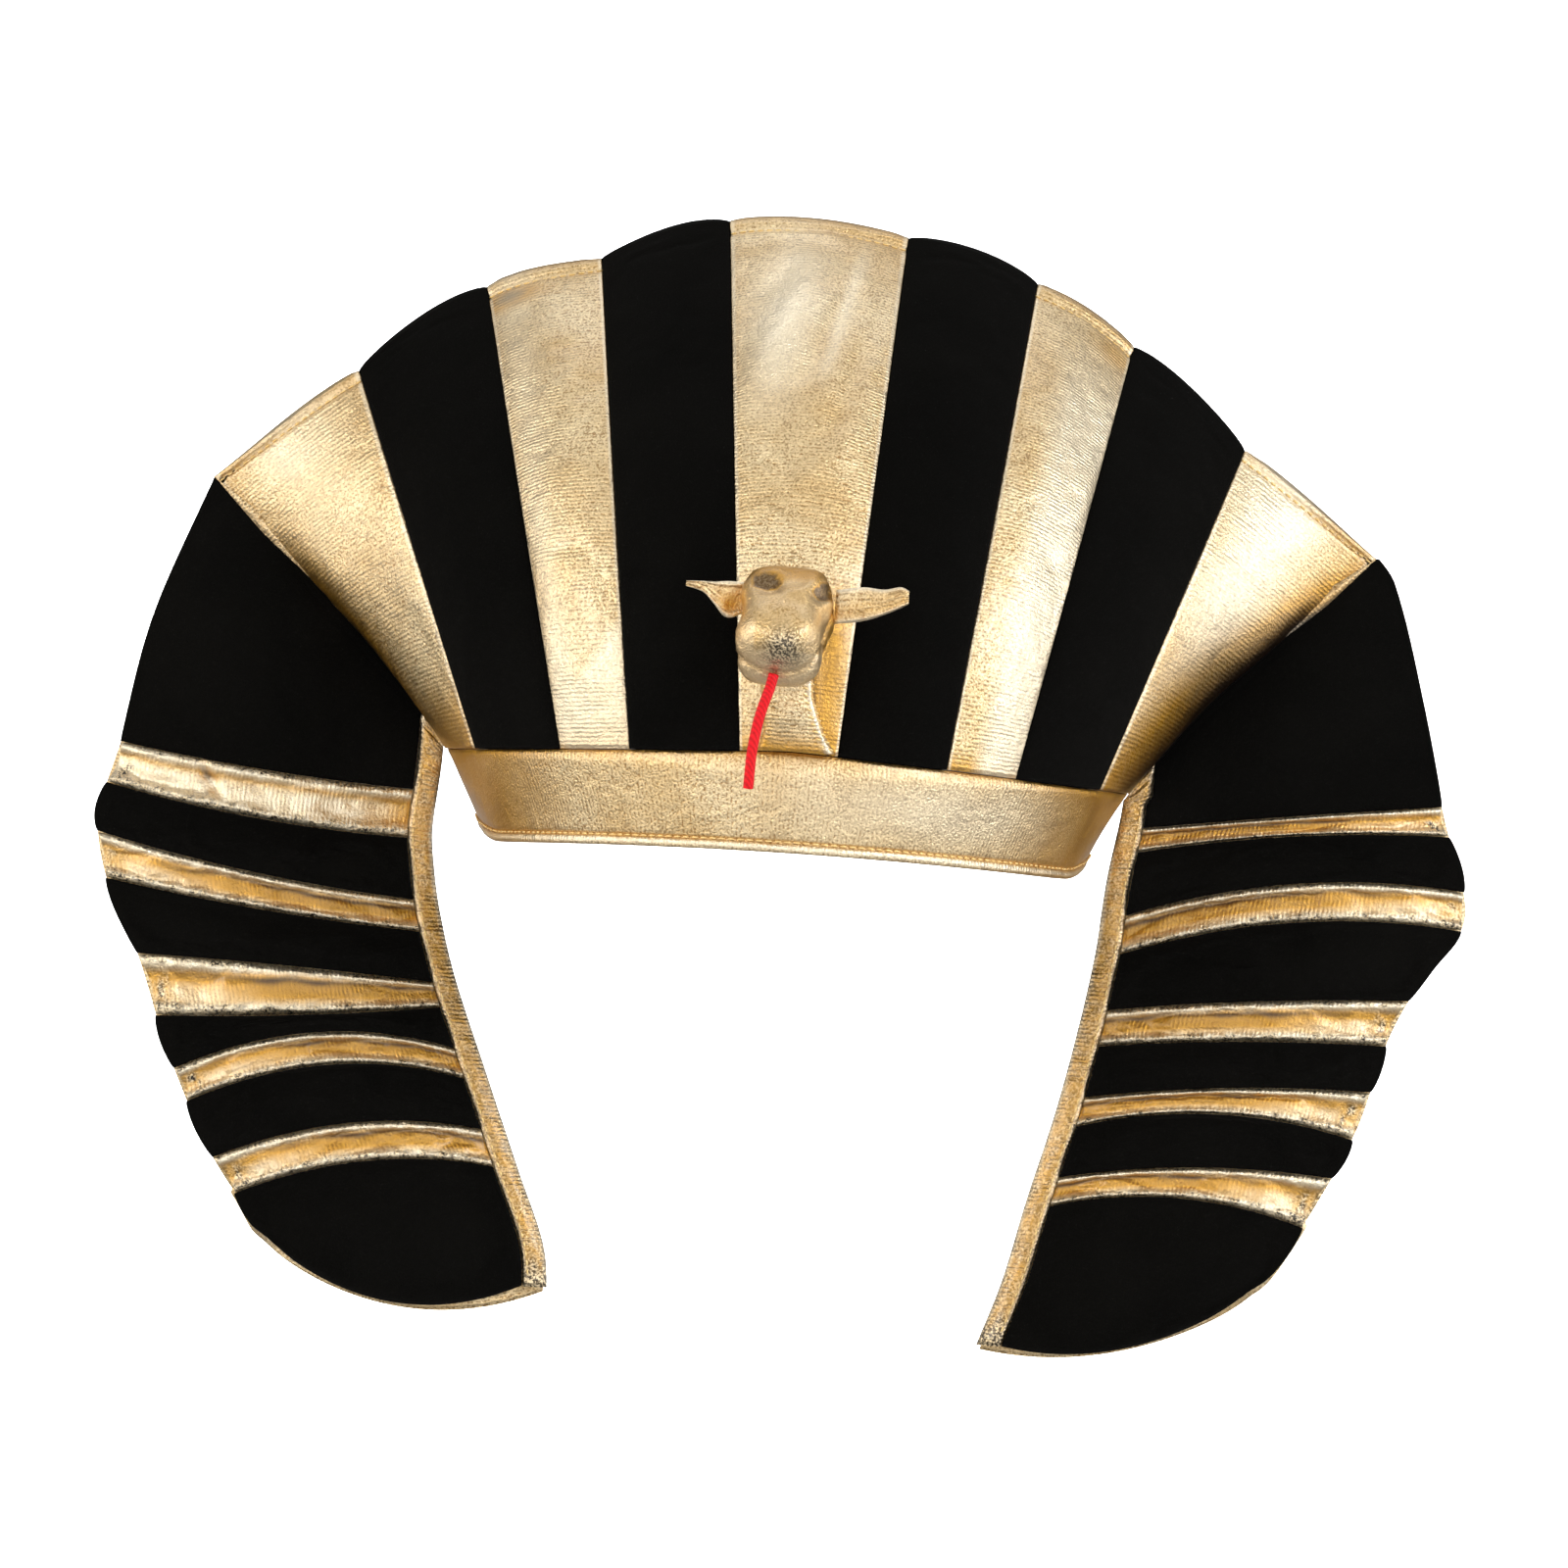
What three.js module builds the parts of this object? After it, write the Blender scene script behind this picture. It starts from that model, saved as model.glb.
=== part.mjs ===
// Pharaoh headdress: a padded striped fan on a gold brow band, a plain velvet hood behind it,
// two hanging striped lappets and a stuffed cobra with a cord tongue. Millimetres, +Z up.
// +X is the viewer's right, -Y is forward, and the origin is the middle of the head opening
// at the height of the front rim.
import * as THREE from "three";
import { mergeVertices } from "three/addons/utils/BufferGeometryUtils.js";

const { abs, cos, hypot, max, min, PI, sin } = Math;
const { lerp } = THREE.MathUtils;

// Head opening and bands
const headLength = 198;
const headBreadth = 170;
const bandThickness = 3;
const bandHeight = 29;
const bandFlare = 11;
const bandDip = 2.6;
const bandTaper = 3;
const backBandRise = 4;

// Crown: the crest is the seam that joins the striped fan and the hood, above the ears
const crownHeight = 184;
const crownHalfSpan = 172;
const fanWall = 4;
const hoodWall = 2.5;
const goldPuff = 2.2;
const velvetPuff = 4.2;
const gatherDepth = 1.6;

// Lappets
const lappetReach = 199;
const lappetDrop = 139;
const lappetForward = 24;
const lappetCurl = 7;
const lappetEdge = 2.6;
const lappetPuff = 5;
const stripePuff = 1.2;
const bindingWidth = 7;
const bindingPuff = 1.1;
const liningThickness = 1;
const liningShow = 1.2;
const seamTuck = 3;

// Cobra, standing on the front of the band and leaning forward
const neckRise = 52;
const neckWidth = 15;
const neckThickness = 5;
const neckLean = 6;
const cobraHeadWidth = 26;
const cobraHeadLength = 34;
const cobraHeadDepth = 25;
const cobraHeadRise = 36;
const cobraHeadAside = -4;
const earLength = 18;
const earThickness = 3;
const earSeat = 0.8;
const tongueDiameter = 3;

// Clearance kept between neighbouring pieces, and the slack of the loose lining
const gap = 0.3;
const liningGap = 0.6;

const gold = new THREE.MeshStandardMaterial({ color: 0xd9ab55, roughness: 0.38, metalness: 0.85 });
const velvet = new THREE.MeshStandardMaterial({ color: 0x060607, roughness: 0.95, metalness: 0 });
const red = new THREE.MeshStandardMaterial({ color: 0xe01424, roughness: 0.7, metalness: 0 });

// The seams between the nine stripes, from the middle outward on either side. Places on the
// crest are shares of the half span and of the height, and the crest stands a little higher on
// the left. bandTurn is a share of a quarter turn of the band.
const stripesInFan = 9;
const fanSeams = [
  { leftAcross: 0.159, leftRise: 0.99, rightAcross: 0.145, rightRise: 0.982, bandTurn: 0.092 },
  { leftAcross: 0.371, leftRise: 0.918, rightAcross: 0.368, rightRise: 0.923, bandTurn: 0.306 },
  { leftAcross: 0.561, leftRise: 0.861, rightAcross: 0.537, rightRise: 0.834, bandTurn: 0.463 },
  { leftAcross: 0.768, leftRise: 0.715, rightAcross: 0.736, rightRise: 0.682, bandTurn: 0.736 },
  { leftAcross: 1, leftRise: 0.534, rightAcross: 0.97, rightRise: 0.525, bandTurn: 1 },
];
const fanEnd = stripesInFan / 2;
const fanLean = 2.3;
const hoodLean = 1.8;

// Outline of the lappets: heights are shares of the drop, and the rest are shares of the reach.
const lappetOutline = [
  { height: 0.7, leftInner: 0.504, leftOuter: 0.864, rightInner: 0.497, rightOuter: 0.84 },
  { height: 0.65, leftInner: 0.504, leftOuter: 0.876, rightInner: 0.497, rightOuter: 0.864 },
  { height: 0.4, leftInner: 0.504, leftOuter: 0.936, rightInner: 0.497, rightOuter: 0.916 },
  { height: 0.15, leftInner: 0.504, leftOuter: 0.974, rightInner: 0.492, rightOuter: 0.966 },
  { height: 0, leftInner: 0.512, leftOuter: 1, rightInner: 0.477, rightOuter: 1 },
  { height: -0.07, leftInner: 0.507, leftOuter: 0.998, rightInner: 0.472, rightOuter: 0.998 },
  { height: -0.16, leftInner: 0.495, leftOuter: 0.979, rightInner: 0.467, rightOuter: 0.953 },
  { height: -0.3, leftInner: 0.466, leftOuter: 0.93, rightInner: 0.452, rightOuter: 0.904 },
  { height: -0.5, leftInner: 0.41, leftOuter: 0.876, rightInner: 0.424, rightOuter: 0.864 },
  { height: -0.7, leftInner: 0.353, leftOuter: 0.806, rightInner: 0.388, rightOuter: 0.798 },
  { height: -0.86, leftInner: 0.308, leftOuter: 0.73, rightInner: 0.362, rightOuter: 0.73 },
  { height: -1, leftInner: 0.298, leftOuter: 0.7, rightInner: 0.33, rightOuter: 0.67 },
];

// Seams across each lappet, from the top down, as shares of the drop at its inner edge, middle
// and outer edge. Each pair holds one gold stripe and the last row is the hem.
const lappetSeams = {
  left: [
    { inner: 0.08, middle: 0.1, outer: 0.14 },
    { inner: -0.02, middle: 0, outer: 0.055 },
    { inner: -0.15, middle: -0.115, outer: -0.05 },
    { inner: -0.215, middle: -0.19, outer: -0.145 },
    { inner: -0.32, middle: -0.305, outer: -0.3 },
    { inner: -0.37, middle: -0.405, outer: -0.425 },
    { inner: -0.455, middle: -0.44, outer: -0.535 },
    { inner: -0.515, middle: -0.505, outer: -0.6 },
    { inner: -0.62, middle: -0.625, outer: -0.715 },
    { inner: -0.695, middle: -0.7, outer: -0.785 },
    { inner: -0.94, middle: -0.99, outer: -0.87 },
  ],
  right: [
    { inner: 0.1, middle: 0.145, outer: 0.185 },
    { inner: 0.05, middle: 0.105, outer: 0.125 },
    { inner: -0.085, middle: 0.005, outer: 0.01 },
    { inner: -0.165, middle: -0.075, outer: -0.07 },
    { inner: -0.285, middle: -0.245, outer: -0.225 },
    { inner: -0.36, middle: -0.33, outer: -0.32 },
    { inner: -0.47, middle: -0.43, outer: -0.42 },
    { inner: -0.53, middle: -0.485, outer: -0.52 },
    { inner: -0.64, middle: -0.6, outer: -0.605 },
    { inner: -0.7, middle: -0.665, outer: -0.71 },
    { inner: -1, middle: -0.985, outer: -0.85 },
  ],
};

// Shared shape helpers

function point(x, y, z) {
  return new THREE.Vector3(x, y, z);
}

function withShape(geometry, place) {
  const plain = geometry.clone();
  plain.deleteAttribute("uv");
  plain.deleteAttribute("normal");
  const shaped = mergeVertices(plain, 1e-4);
  const position = shaped.attributes.position;
  for (let i = 0; i < position.count; i += 1) {
    const placed = place(position.getX(i), position.getY(i), position.getZ(i));
    position.setXYZ(i, placed.x, placed.y, placed.z);
  }
  if (enclosedVolume(shaped) < 0) {
    shaped.index.array.reverse();
  }
  shaped.computeVertexNormals();
  return shaped;
}

function enclosedVolume(geometry) {
  const position = geometry.attributes.position;
  const corners = [0, 1, 2].map(() => new THREE.Vector3());
  let volume = 0;
  for (let i = 0; i < geometry.index.count; i += 3) {
    corners.forEach((corner, k) => corner.fromBufferAttribute(position, geometry.index.getX(i + k)));
    volume += corners[0].dot(corners[1].clone().cross(corners[2])) / 6;
  }
  return volume;
}

// A closed sheet with thickness. place(across, along, outside) takes shares from 0 to 1.
function sheet(acrossSteps, alongSteps, place) {
  const block = new THREE.BoxGeometry(1, 1, 1, acrossSteps, alongSteps, 1);
  return withShape(block, (x, y, z) => place(x + 0.5, y + 0.5, z + 0.5));
}

function readTable(rows, key, value, at) {
  const next = rows.findIndex((row) => row[key] <= at);
  if (next === 0) {
    return rows[0][value];
  }
  if (next < 0) {
    return rows[rows.length - 1][value];
  }
  const above = rows[next - 1];
  const below = rows[next];
  return lerp(above[value], below[value], (above[key] - at) / (above[key] - below[key]));
}

function throughThree(start, middle, end, share) {
  const first = start * (1 - share) * (1 - 2 * share);
  const second = middle * 4 * share * (1 - share);
  return first + second + end * share * (2 * share - 1);
}

const headdress = new THREE.Group();

function add(name, geometry, material) {
  const mesh = new THREE.Mesh(geometry, material);
  mesh.name = name;
  headdress.add(mesh);
}

// Bands: an oval that widens upward. turn runs from -1 to 1 between the side seams, on the
// front half when facing is -1 and on the back half when it is 1.

function frontBandTop(turn) {
  return bandHeight - (bandDip + bandTaper) * abs(sin((turn * PI) / 2)) ** 1.2;
}

const sideBandTop = frontBandTop(1);

function bandHalfBreadth(height) {
  const share = min(1, max(0, height / sideBandTop));
  return headBreadth / 2 + bandThickness + bandFlare * share ** 1.5;
}

function bandHalfLength(height) {
  const widened = bandHalfBreadth(height) - headBreadth / 2;
  return headLength / 2 + bandThickness + (widened - bandThickness) / 3;
}

function bandPoint(turn, height, facing, depth) {
  const angle = (turn * PI) / 2;
  const y = max((bandHalfLength(height) - depth) * cos(angle), gap / 2);
  return point((bandHalfBreadth(height) - depth) * sin(angle), facing * y, height);
}

function buildBand(facing, bottom, top) {
  return sheet(28, 3, (across, along, outside) => {
    const turn = 2 * across - 1;
    const height = lerp(bottom(turn), top(turn), along);
    return bandPoint(turn, height, facing, (1 - outside) * bandThickness);
  });
}

add(
  "brow_band",
  buildBand(
    -1,
    (turn) => -bandDip * sin((turn * PI) / 2) ** 2,
    (turn) => frontBandTop(turn),
  ),
  gold,
);
add(
  "back_band",
  buildBand(
    1,
    (turn) => lerp(backBandRise, -bandDip, turn ** 2),
    () => sideBandTop,
  ),
  velvet,
);

// Crown: place along the fan in stripes from its middle, then up from the band to the crest.

function throughSeams(placeLeft, placeRight) {
  const left = [...fanSeams].reverse().map(placeLeft);
  return new THREE.CatmullRomCurve3([...left, ...fanSeams.map(placeRight)]);
}

const crestCurve = throughSeams(
  (row) => point(-row.leftAcross * crownHalfSpan, 0, row.leftRise * crownHeight),
  (row) => point(row.rightAcross * crownHalfSpan, 0, row.rightRise * crownHeight),
);
const turnCurve = throughSeams(
  (row) => point(-row.bandTurn, 0, 0),
  (row) => point(row.bandTurn, 0, 0),
);

function crownSurface(place, rise, facing) {
  const share = (place + fanEnd) / stripesInFan;
  const crest = crestCurve.getPoint(share);
  const turn = turnCurve.getPoint(share).x;
  const angle = (turn * PI) / 2;
  const foot = point(
    bandHalfBreadth(bandHeight) * sin(angle),
    facing * bandHalfLength(bandHeight) * cos(angle),
    gap + (facing < 0 ? frontBandTop(turn) : sideBandTop),
  );
  const surface = foot.clone().lerp(crest, rise);
  surface.y = foot.y * (1 - rise ** (facing < 0 ? fanLean : hoodLean));
  return surface;
}

function crownOutward(place, rise, facing) {
  const step = 0.02;
  const nearEnd = max(-fanEnd, place - step);
  const farEnd = min(fanEnd, place + step);
  const alongFan = crownSurface(farEnd, rise, facing).sub(crownSurface(nearEnd, rise, facing));
  const low = max(0, rise - step);
  const high = min(1, rise + step);
  const upward = crownSurface(place, high, facing).sub(crownSurface(place, low, facing));
  return alongFan.cross(upward).multiplyScalar(-facing).normalize();
}

function crownWallPoint(place, rise, facing, offset) {
  const atSide = abs(place) === fanEnd;
  const outward = crownOutward(place, rise, facing);
  if (atSide || rise === 1) {
    outward.y = 0;
  }
  if (rise === 0) {
    outward.z = 0;
  }
  outward.divideScalar(max(outward.lengthSq(), 0.4));
  const placed = crownSurface(place, rise, facing).addScaledVector(outward, offset);
  const lappetLayers = lappetEdge / 2 + gap + (facing > 0 ? liningGap + liningThickness : 0);
  const clear = atSide ? lappetLayers : gap / 2;
  placed.y = facing * max(facing * placed.y, clear);
  return placed;
}

function fullnessUpFan(rise) {
  return sin(PI * (0.1 + 0.8 * rise)) ** 0.6;
}

// Every second stripe is built mirrored, so that the diagonals of meeting faces match
function buildFanStripe(stripe, puff, mirrored) {
  return sheet(4, 9, (column, along, outside) => {
    const across = mirrored ? 1 - column : column;
    const exact = lerp(stripe - 0.5, stripe + 0.5, across);
    const step = 0.01;
    const inside = abs(exact) < fanEnd;
    const pace = inside
      ? crownSurface(exact + step, along, -1).distanceTo(crownSurface(exact - step, along, -1)) / (2 * step)
      : 1;
    const inset = inside ? ((gap / 2) * (1 - 2 * across)) / pace : 0;
    const fullness = (4 * across * (1 - across)) ** 0.7 * fullnessUpFan(along);
    const offset = outside ? puff * fullness : -fanWall;
    return crownWallPoint(exact + inset, along, -1, offset);
  });
}

for (let number = 1; number <= stripesInFan; number += 1) {
  const isGold = number % 2 === 1;
  const name = `fan_${isGold ? "gold" : "velvet"}_${number}`;
  const stripe = number - (stripesInFan + 1) / 2;
  add(name, buildFanStripe(stripe, isGold ? goldPuff : velvetPuff, isGold), isGold ? gold : velvet);
}

const gathersPerStripe = 2;
const hood = sheet(36, 9, (across, along, outside) => {
  const place = lerp(-fanEnd, fanEnd, across);
  const gather = gatherDepth * cos(2 * PI * gathersPerStripe * place) * (1 - along) ** 2;
  const ends = (1 - abs(place / fanEnd) ** 6) * gather;
  return crownWallPoint(place, along, 1, ends + (outside ? 0 : -hoodWall));
});
add("hood", hood, velvet);

// Lappets: share across runs from the inner edge to the outer one. Each piece lies between two
// seams, and its top row is tucked up between the fan and the hood.

function topSeam(end) {
  const foot = crownSurface(end, 0, -1);
  const head = crownSurface(end, 1, -1);
  const width = abs(head.x - foot.x);
  const height = head.z - foot.z;
  const length = hypot(width, height);
  return { foot, head, width, height, inX: -height / length, inZ: width / length };
}

const topSeams = { left: topSeam(-fanEnd), right: topSeam(fanEnd) };

function topSeamHeight(side, x) {
  const seam = topSeams[side];
  const share = min(1, max(0, (x - abs(seam.foot.x)) / seam.width));
  return seam.foot.z + seam.height * share;
}

function lappetEdgeAt(side, edge, height) {
  return lappetReach * readTable(lappetOutline, "height", side + edge, height / lappetDrop);
}

function seamHeight(side, row, across) {
  if (row === 0) {
    return topSeams[side].foot.z + topSeams[side].height * across;
  }
  const seam = lappetSeams[side][row - 1];
  return lappetDrop * throughThree(seam.inner, seam.middle, seam.outer, across);
}

// The middle layer leans forward as it hangs and curls back at both edges
function onLappet(side, x, z, layer) {
  const inner = lappetEdgeAt(side, "Inner", z);
  const outer = lappetEdgeAt(side, "Outer", z);
  const fromMiddle = min(1, abs((2 * x - inner - outer) / (outer - inner)));
  const below = max(0, topSeamHeight(side, x) - z);
  const curl = lappetCurl * fromMiddle ** 2 * min(1, below / (lappetDrop / 3));
  const lean = lappetForward * (below / (topSeams[side].head.z + lappetDrop)) ** 1.3;
  return point((side === "left" ? -1 : 1) * x, curl - lean + layer, z);
}

const lappetSeamCount = lappetSeams.left.length;

function panelSteps(row) {
  return row === 0 ? 7 : row % 2 === 1 ? 2 : 4;
}

// A place between seam row and the next one. The first step below the top seam is the tuck, and
// margin holds the lengths kept off the inner edge, the outer edge and the two seams.
function lappetPlace(side, row, across, step, margin) {
  const steps = panelSteps(row);
  const tucked = row === 0;
  const down = tucked ? max(0, (step - 1) / (steps - 1)) : step / steps;
  const innerHeight = lerp(seamHeight(side, row, 0), seamHeight(side, row + 1, 0), down);
  const outerHeight = lerp(seamHeight(side, row, 1), seamHeight(side, row + 1, 1), down);
  const innerX = lappetEdgeAt(side, "Inner", innerHeight) + margin.inner;
  const outerX = lappetEdgeAt(side, "Outer", outerHeight) + margin.outer;
  const tuck = tucked && step === 0 ? seamTuck * (1 - across ** 2) : 0;
  const x = lerp(innerX, outerX, across) + tuck * topSeams[side].inX;
  const seamAbove = seamHeight(side, row, across) - margin.seams;
  const top = tucked ? topSeamHeight(side, lerp(innerX, outerX, across)) : seamAbove;
  const bottom = seamHeight(side, row + 1, across) + margin.seams;
  const z = lerp(top, bottom, down) + tuck * topSeams[side].inZ;
  const besideBand = z > -2 * bandDip ? bandHalfBreadth(z) + gap + margin.inner : 0;
  return {
    x: max(x, besideBand),
    z,
    fullness: sin(PI * down) ** 0.7,
  };
}

function buildLappetPanel(side, row, puff, mirrored) {
  const steps = panelSteps(row);
  const margin = { inner: bindingWidth + gap, outer: 0, seams: gap / 2 };
  return sheet(8, steps, (across, along, front) => {
    const step = steps * (mirrored ? along : 1 - along);
    const placed = lappetPlace(side, row, across, step, margin);
    const fullness = placed.fullness * sin(PI * lerp(0.06, 0.94, across)) ** 0.6;
    const layer = front ? -lappetEdge / 2 - puff * fullness : lappetEdge / 2;
    return onLappet(side, placed.x, placed.z, layer);
  });
}

// Strips that run down a whole lappet share the steps of its panels
const stepPlaces = Array.from({ length: lappetSeamCount }, (_, row) => row).flatMap((row) =>
  Array.from({ length: panelSteps(row) }, (_, step) => ({ row, step })),
);
const wholeSteps = stepPlaces.length;
stepPlaces.push({ row: lappetSeamCount - 1, step: panelSteps(lappetSeamCount - 1) });

function buildBinding(side) {
  return sheet(2, wholeSteps, (across, along, front) => {
    const { row, step } = stepPlaces[Math.round(wholeSteps * (1 - along))];
    const margin = { inner: bindingWidth * across, outer: 0, seams: 0 };
    const placed = lappetPlace(side, row, 0, step, margin);
    const raised = front && row + step > 1 ? bindingPuff * sin(PI * across) : 0;
    const layer = lappetEdge / 2 + raised;
    return onLappet(side, placed.x, placed.z, front ? -layer : layer);
  });
}

function buildLining(side) {
  return sheet(5, wholeSteps, (across, along, front) => {
    const { row, step } = stepPlaces[Math.round(wholeSteps * (1 - along))];
    const last = row === lappetSeamCount - 1 ? liningShow : 0;
    const placed = lappetPlace(side, row, across, step, { inner: 1, outer: last, seams: 0 });
    const hem = last * (step / panelSteps(row));
    const layer = lappetEdge / 2 + liningGap + (front ? 0 : liningThickness);
    return onLappet(side, placed.x, placed.z - hem, layer);
  });
}

for (const side of ["left", "right"]) {
  for (let row = 0; row < lappetSeamCount; row += 1) {
    const isGold = row % 2 === 1;
    const number = Math.floor(row / 2) + 1;
    const name = `lappet_${side}_${isGold ? "gold" : "velvet"}_${number}`;
    const panel = buildLappetPanel(side, row, isGold ? stripePuff : lappetPuff, isGold);
    add(name, panel, isGold ? gold : velvet);
  }
  add(`lappet_${side}_binding`, buildBinding(side), gold);
  add(`lappet_${side}_lining`, buildLining(side), gold);
}

// Cobra neck: a flat stuffed strip. Its rows run down from the top and hold shares of its rise
// and of its width.
const neckRows = [
  { up: 1, wide: 1.35, aside: -0.33 },
  { up: 0.65, wide: 1.05, aside: -0.2 },
  { up: 0.33, wide: 1, aside: -0.1 },
  { up: 0.12, wide: 1.15, aside: 0.07 },
  { up: 0, wide: 1.45, aside: 0.15 },
];
const neckFoot = bandHeight + gap;
const neckBack = -bandHalfLength(bandHeight) - goldPuff * fullnessUpFan(0) - gap;

add(
  "cobra_neck",
  sheet(6, 12, (across, along, front) => {
    const wide = neckWidth * readTable(neckRows, "up", "wide", along);
    const aside = neckWidth * readTable(neckRows, "up", "aside", along);
    const full = (4 * across * (1 - across)) ** 0.5 * min(1, 0.4 + 3 * along, 0.5 + 3 * (1 - along));
    const layer = front ? 1 + (neckThickness - 1) * full : 0;
    const y = neckBack - neckLean * along - layer;
    return point(aside + wide * (across - 0.5), y, neckFoot + neckRise * along);
  }),
  gold,
);

// Cobra head: an egg that points forward and down from the top of the neck. Its rows run from
// the muzzle to the back of the skull and hold shares of its width.
const headRows = [
  { along: 1, wide: 0.94 },
  { along: 0.6, wide: 0.98 },
  { along: 0.1, wide: 0.9 },
  { along: -0.4, wide: 1.04 },
  { along: -1, wide: 1 },
];
const headForward = point(-0.13, -0.74, -0.66).normalize();
const headAcross = point(0, 0, 1).cross(headForward).negate().normalize();
const headUp = headForward.clone().cross(headAcross).negate();
const headHalf = { length: cobraHeadLength / 2, width: cobraHeadWidth / 2, depth: cobraHeadDepth / 2 };
const headReach = hypot(headHalf.length * headForward.y, headHalf.depth * headUp.y);
const headMiddle = point(
  cobraHeadAside,
  neckBack - neckThickness - neckLean * 0.8 - headReach - gap,
  bandHeight + cobraHeadRise,
);

function headHalfWidth(along) {
  return headHalf.width * readTable(headRows, "along", "wide", along);
}

add(
  "cobra_head",
  withShape(new THREE.SphereGeometry(1, 20, 14), (x, y, z) =>
    headMiddle
      .clone()
      .addScaledVector(headForward, y * headHalf.length)
      .addScaledVector(headAcross, x * headHalfWidth(y))
      .addScaledVector(headUp, z * headHalf.depth),
  ),
  gold,
);

// Ears: flat stuffed points that start on the sides of the head
const earRows = [
  { out: 1, half: 0.06 },
  { out: 0.85, half: 0.14 },
  { out: 0.5, half: 0.2 },
  { out: 0, half: 0.32 },
];
const earTips = {
  left: { side: -1, rise: 0.48 },
  right: { side: 1, rise: 0.45 },
};

function headSideAt(side, y, z) {
  const from = point(headMiddle.x, y, z).sub(headMiddle);
  const along = from.dot(headForward) / headHalf.length;
  const above = from.dot(headUp) / headHalf.depth;
  const half = headHalfWidth(along) * max(0, 1 - along ** 2 - above ** 2) ** 0.5;
  return headMiddle.x + headForward.x * along * headHalf.length + side * (half + earSeat);
}

for (const [name, tip] of Object.entries(earTips)) {
  const earDepth = headMiddle.y + headHalf.length / 4;
  add(
    `cobra_ear_${name}`,
    sheet(6, 8, (across, along, front) => {
      const half = earLength * readTable(earRows, "out", "half", across);
      const z = headMiddle.z + earLength * tip.rise * (0.7 + 0.3 * across) + half * (2 * along - 1);
      const full = 0.3 + 0.7 * sin(PI * along);
      const y = earDepth + ((front ? -1 : 1) * earThickness * full) / 2;
      const root = headSideAt(tip.side, y, z);
      const end = headMiddle.x / 4 + tip.side * (headHalf.width + earLength);
      return point(lerp(root, end, across), y, z);
    }),
    gold,
  );
}

// Tongue: a short red cord that hangs from the mouth over the band
const tongueRoute = [
  point(-5.7, -142.6, 51),
  point(-6.6, -143.2, 47),
  point(-8.9, -142, 39),
  point(-10.5, -139, 28.5),
  point(-10.9, -136.5, 18),
];
const tongueSides = 8;
const tongueSection = new THREE.Shape(
  Array.from({ length: tongueSides }, (_, side) => {
    const angle = (2 * PI * side) / tongueSides;
    return new THREE.Vector2(cos(angle), sin(angle)).multiplyScalar(tongueDiameter / 2);
  }),
);
add(
  "tongue",
  new THREE.ExtrudeGeometry(tongueSection, {
    steps: 14,
    bevelEnabled: false,
    extrudePath: new THREE.CatmullRomCurve3(tongueRoute),
  }),
  red,
);

export default headdress;
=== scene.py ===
from collections import namedtuple
from functools import lru_cache, partial
from math import cos, exp, hypot, pi, radians, sin

import bmesh
import bpy
from mathutils import Matrix, Vector, noise


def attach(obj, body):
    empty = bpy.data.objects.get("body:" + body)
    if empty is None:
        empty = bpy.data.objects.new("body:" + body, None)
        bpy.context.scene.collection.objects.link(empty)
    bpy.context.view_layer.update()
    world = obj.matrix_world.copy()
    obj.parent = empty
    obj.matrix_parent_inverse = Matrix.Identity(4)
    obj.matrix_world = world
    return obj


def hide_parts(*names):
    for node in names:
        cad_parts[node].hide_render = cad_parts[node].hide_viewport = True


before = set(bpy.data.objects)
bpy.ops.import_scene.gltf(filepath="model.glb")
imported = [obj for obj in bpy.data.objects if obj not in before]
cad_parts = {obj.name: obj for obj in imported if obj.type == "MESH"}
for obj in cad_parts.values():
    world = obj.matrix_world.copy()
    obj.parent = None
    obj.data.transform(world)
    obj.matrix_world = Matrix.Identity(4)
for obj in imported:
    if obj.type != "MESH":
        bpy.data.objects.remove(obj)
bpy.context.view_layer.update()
scene = bpy.context.scene

# Camera: a long lens straight in front, turned by the few degrees that the headdress leans
# in the photograph. Sizes come from pixels of the 1600 pixel wide picture.
photo_pixels = 1600
metres_per_pixel = 0.000285
camera_lean = radians(3.8)
camera_distance = 8.0
camera_aim = Vector((-0.00075, 0, 0.0199))

camera_data = bpy.data.cameras.new("photo_camera")
camera_data.sensor_width = 36
camera_data.lens = camera_data.sensor_width * camera_distance / (photo_pixels * metres_per_pixel)
camera_data.clip_end = 60
camera = bpy.data.objects.new("photo_camera", camera_data)
camera.matrix_world = Matrix((
    (cos(camera_lean), -sin(camera_lean), 0, camera_aim.x),
    (0, 0, -1, -camera_distance),
    (sin(camera_lean), cos(camera_lean), 0, camera_aim.z),
    (0, 0, 0, 1),
))
scene.collection.objects.link(camera)
scene.camera = camera

# Tongue: a short red satin cord, sewn into the cobra's mouth and left to hang over the band.
# Its end is cut off plainly. It is slightly flat and lies wide side forward.
tongue_width = 0.003
tongue_thickness = 0.0021
tongue_sides = 14
tongue_rows = 40
cord_shadow = (0.4, 0.001, 0.004, 1)
cord_red = (0.64, 0.002, 0.009, 1)
tongue_route = [
    Vector((-0.0057, -0.1426, 0.051)),
    Vector((-0.0066, -0.1432, 0.047)),
    Vector((-0.0089, -0.142, 0.039)),
    Vector((-0.0105, -0.139, 0.0285)),
    Vector((-0.0109, -0.1365, 0.018)),
]


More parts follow.
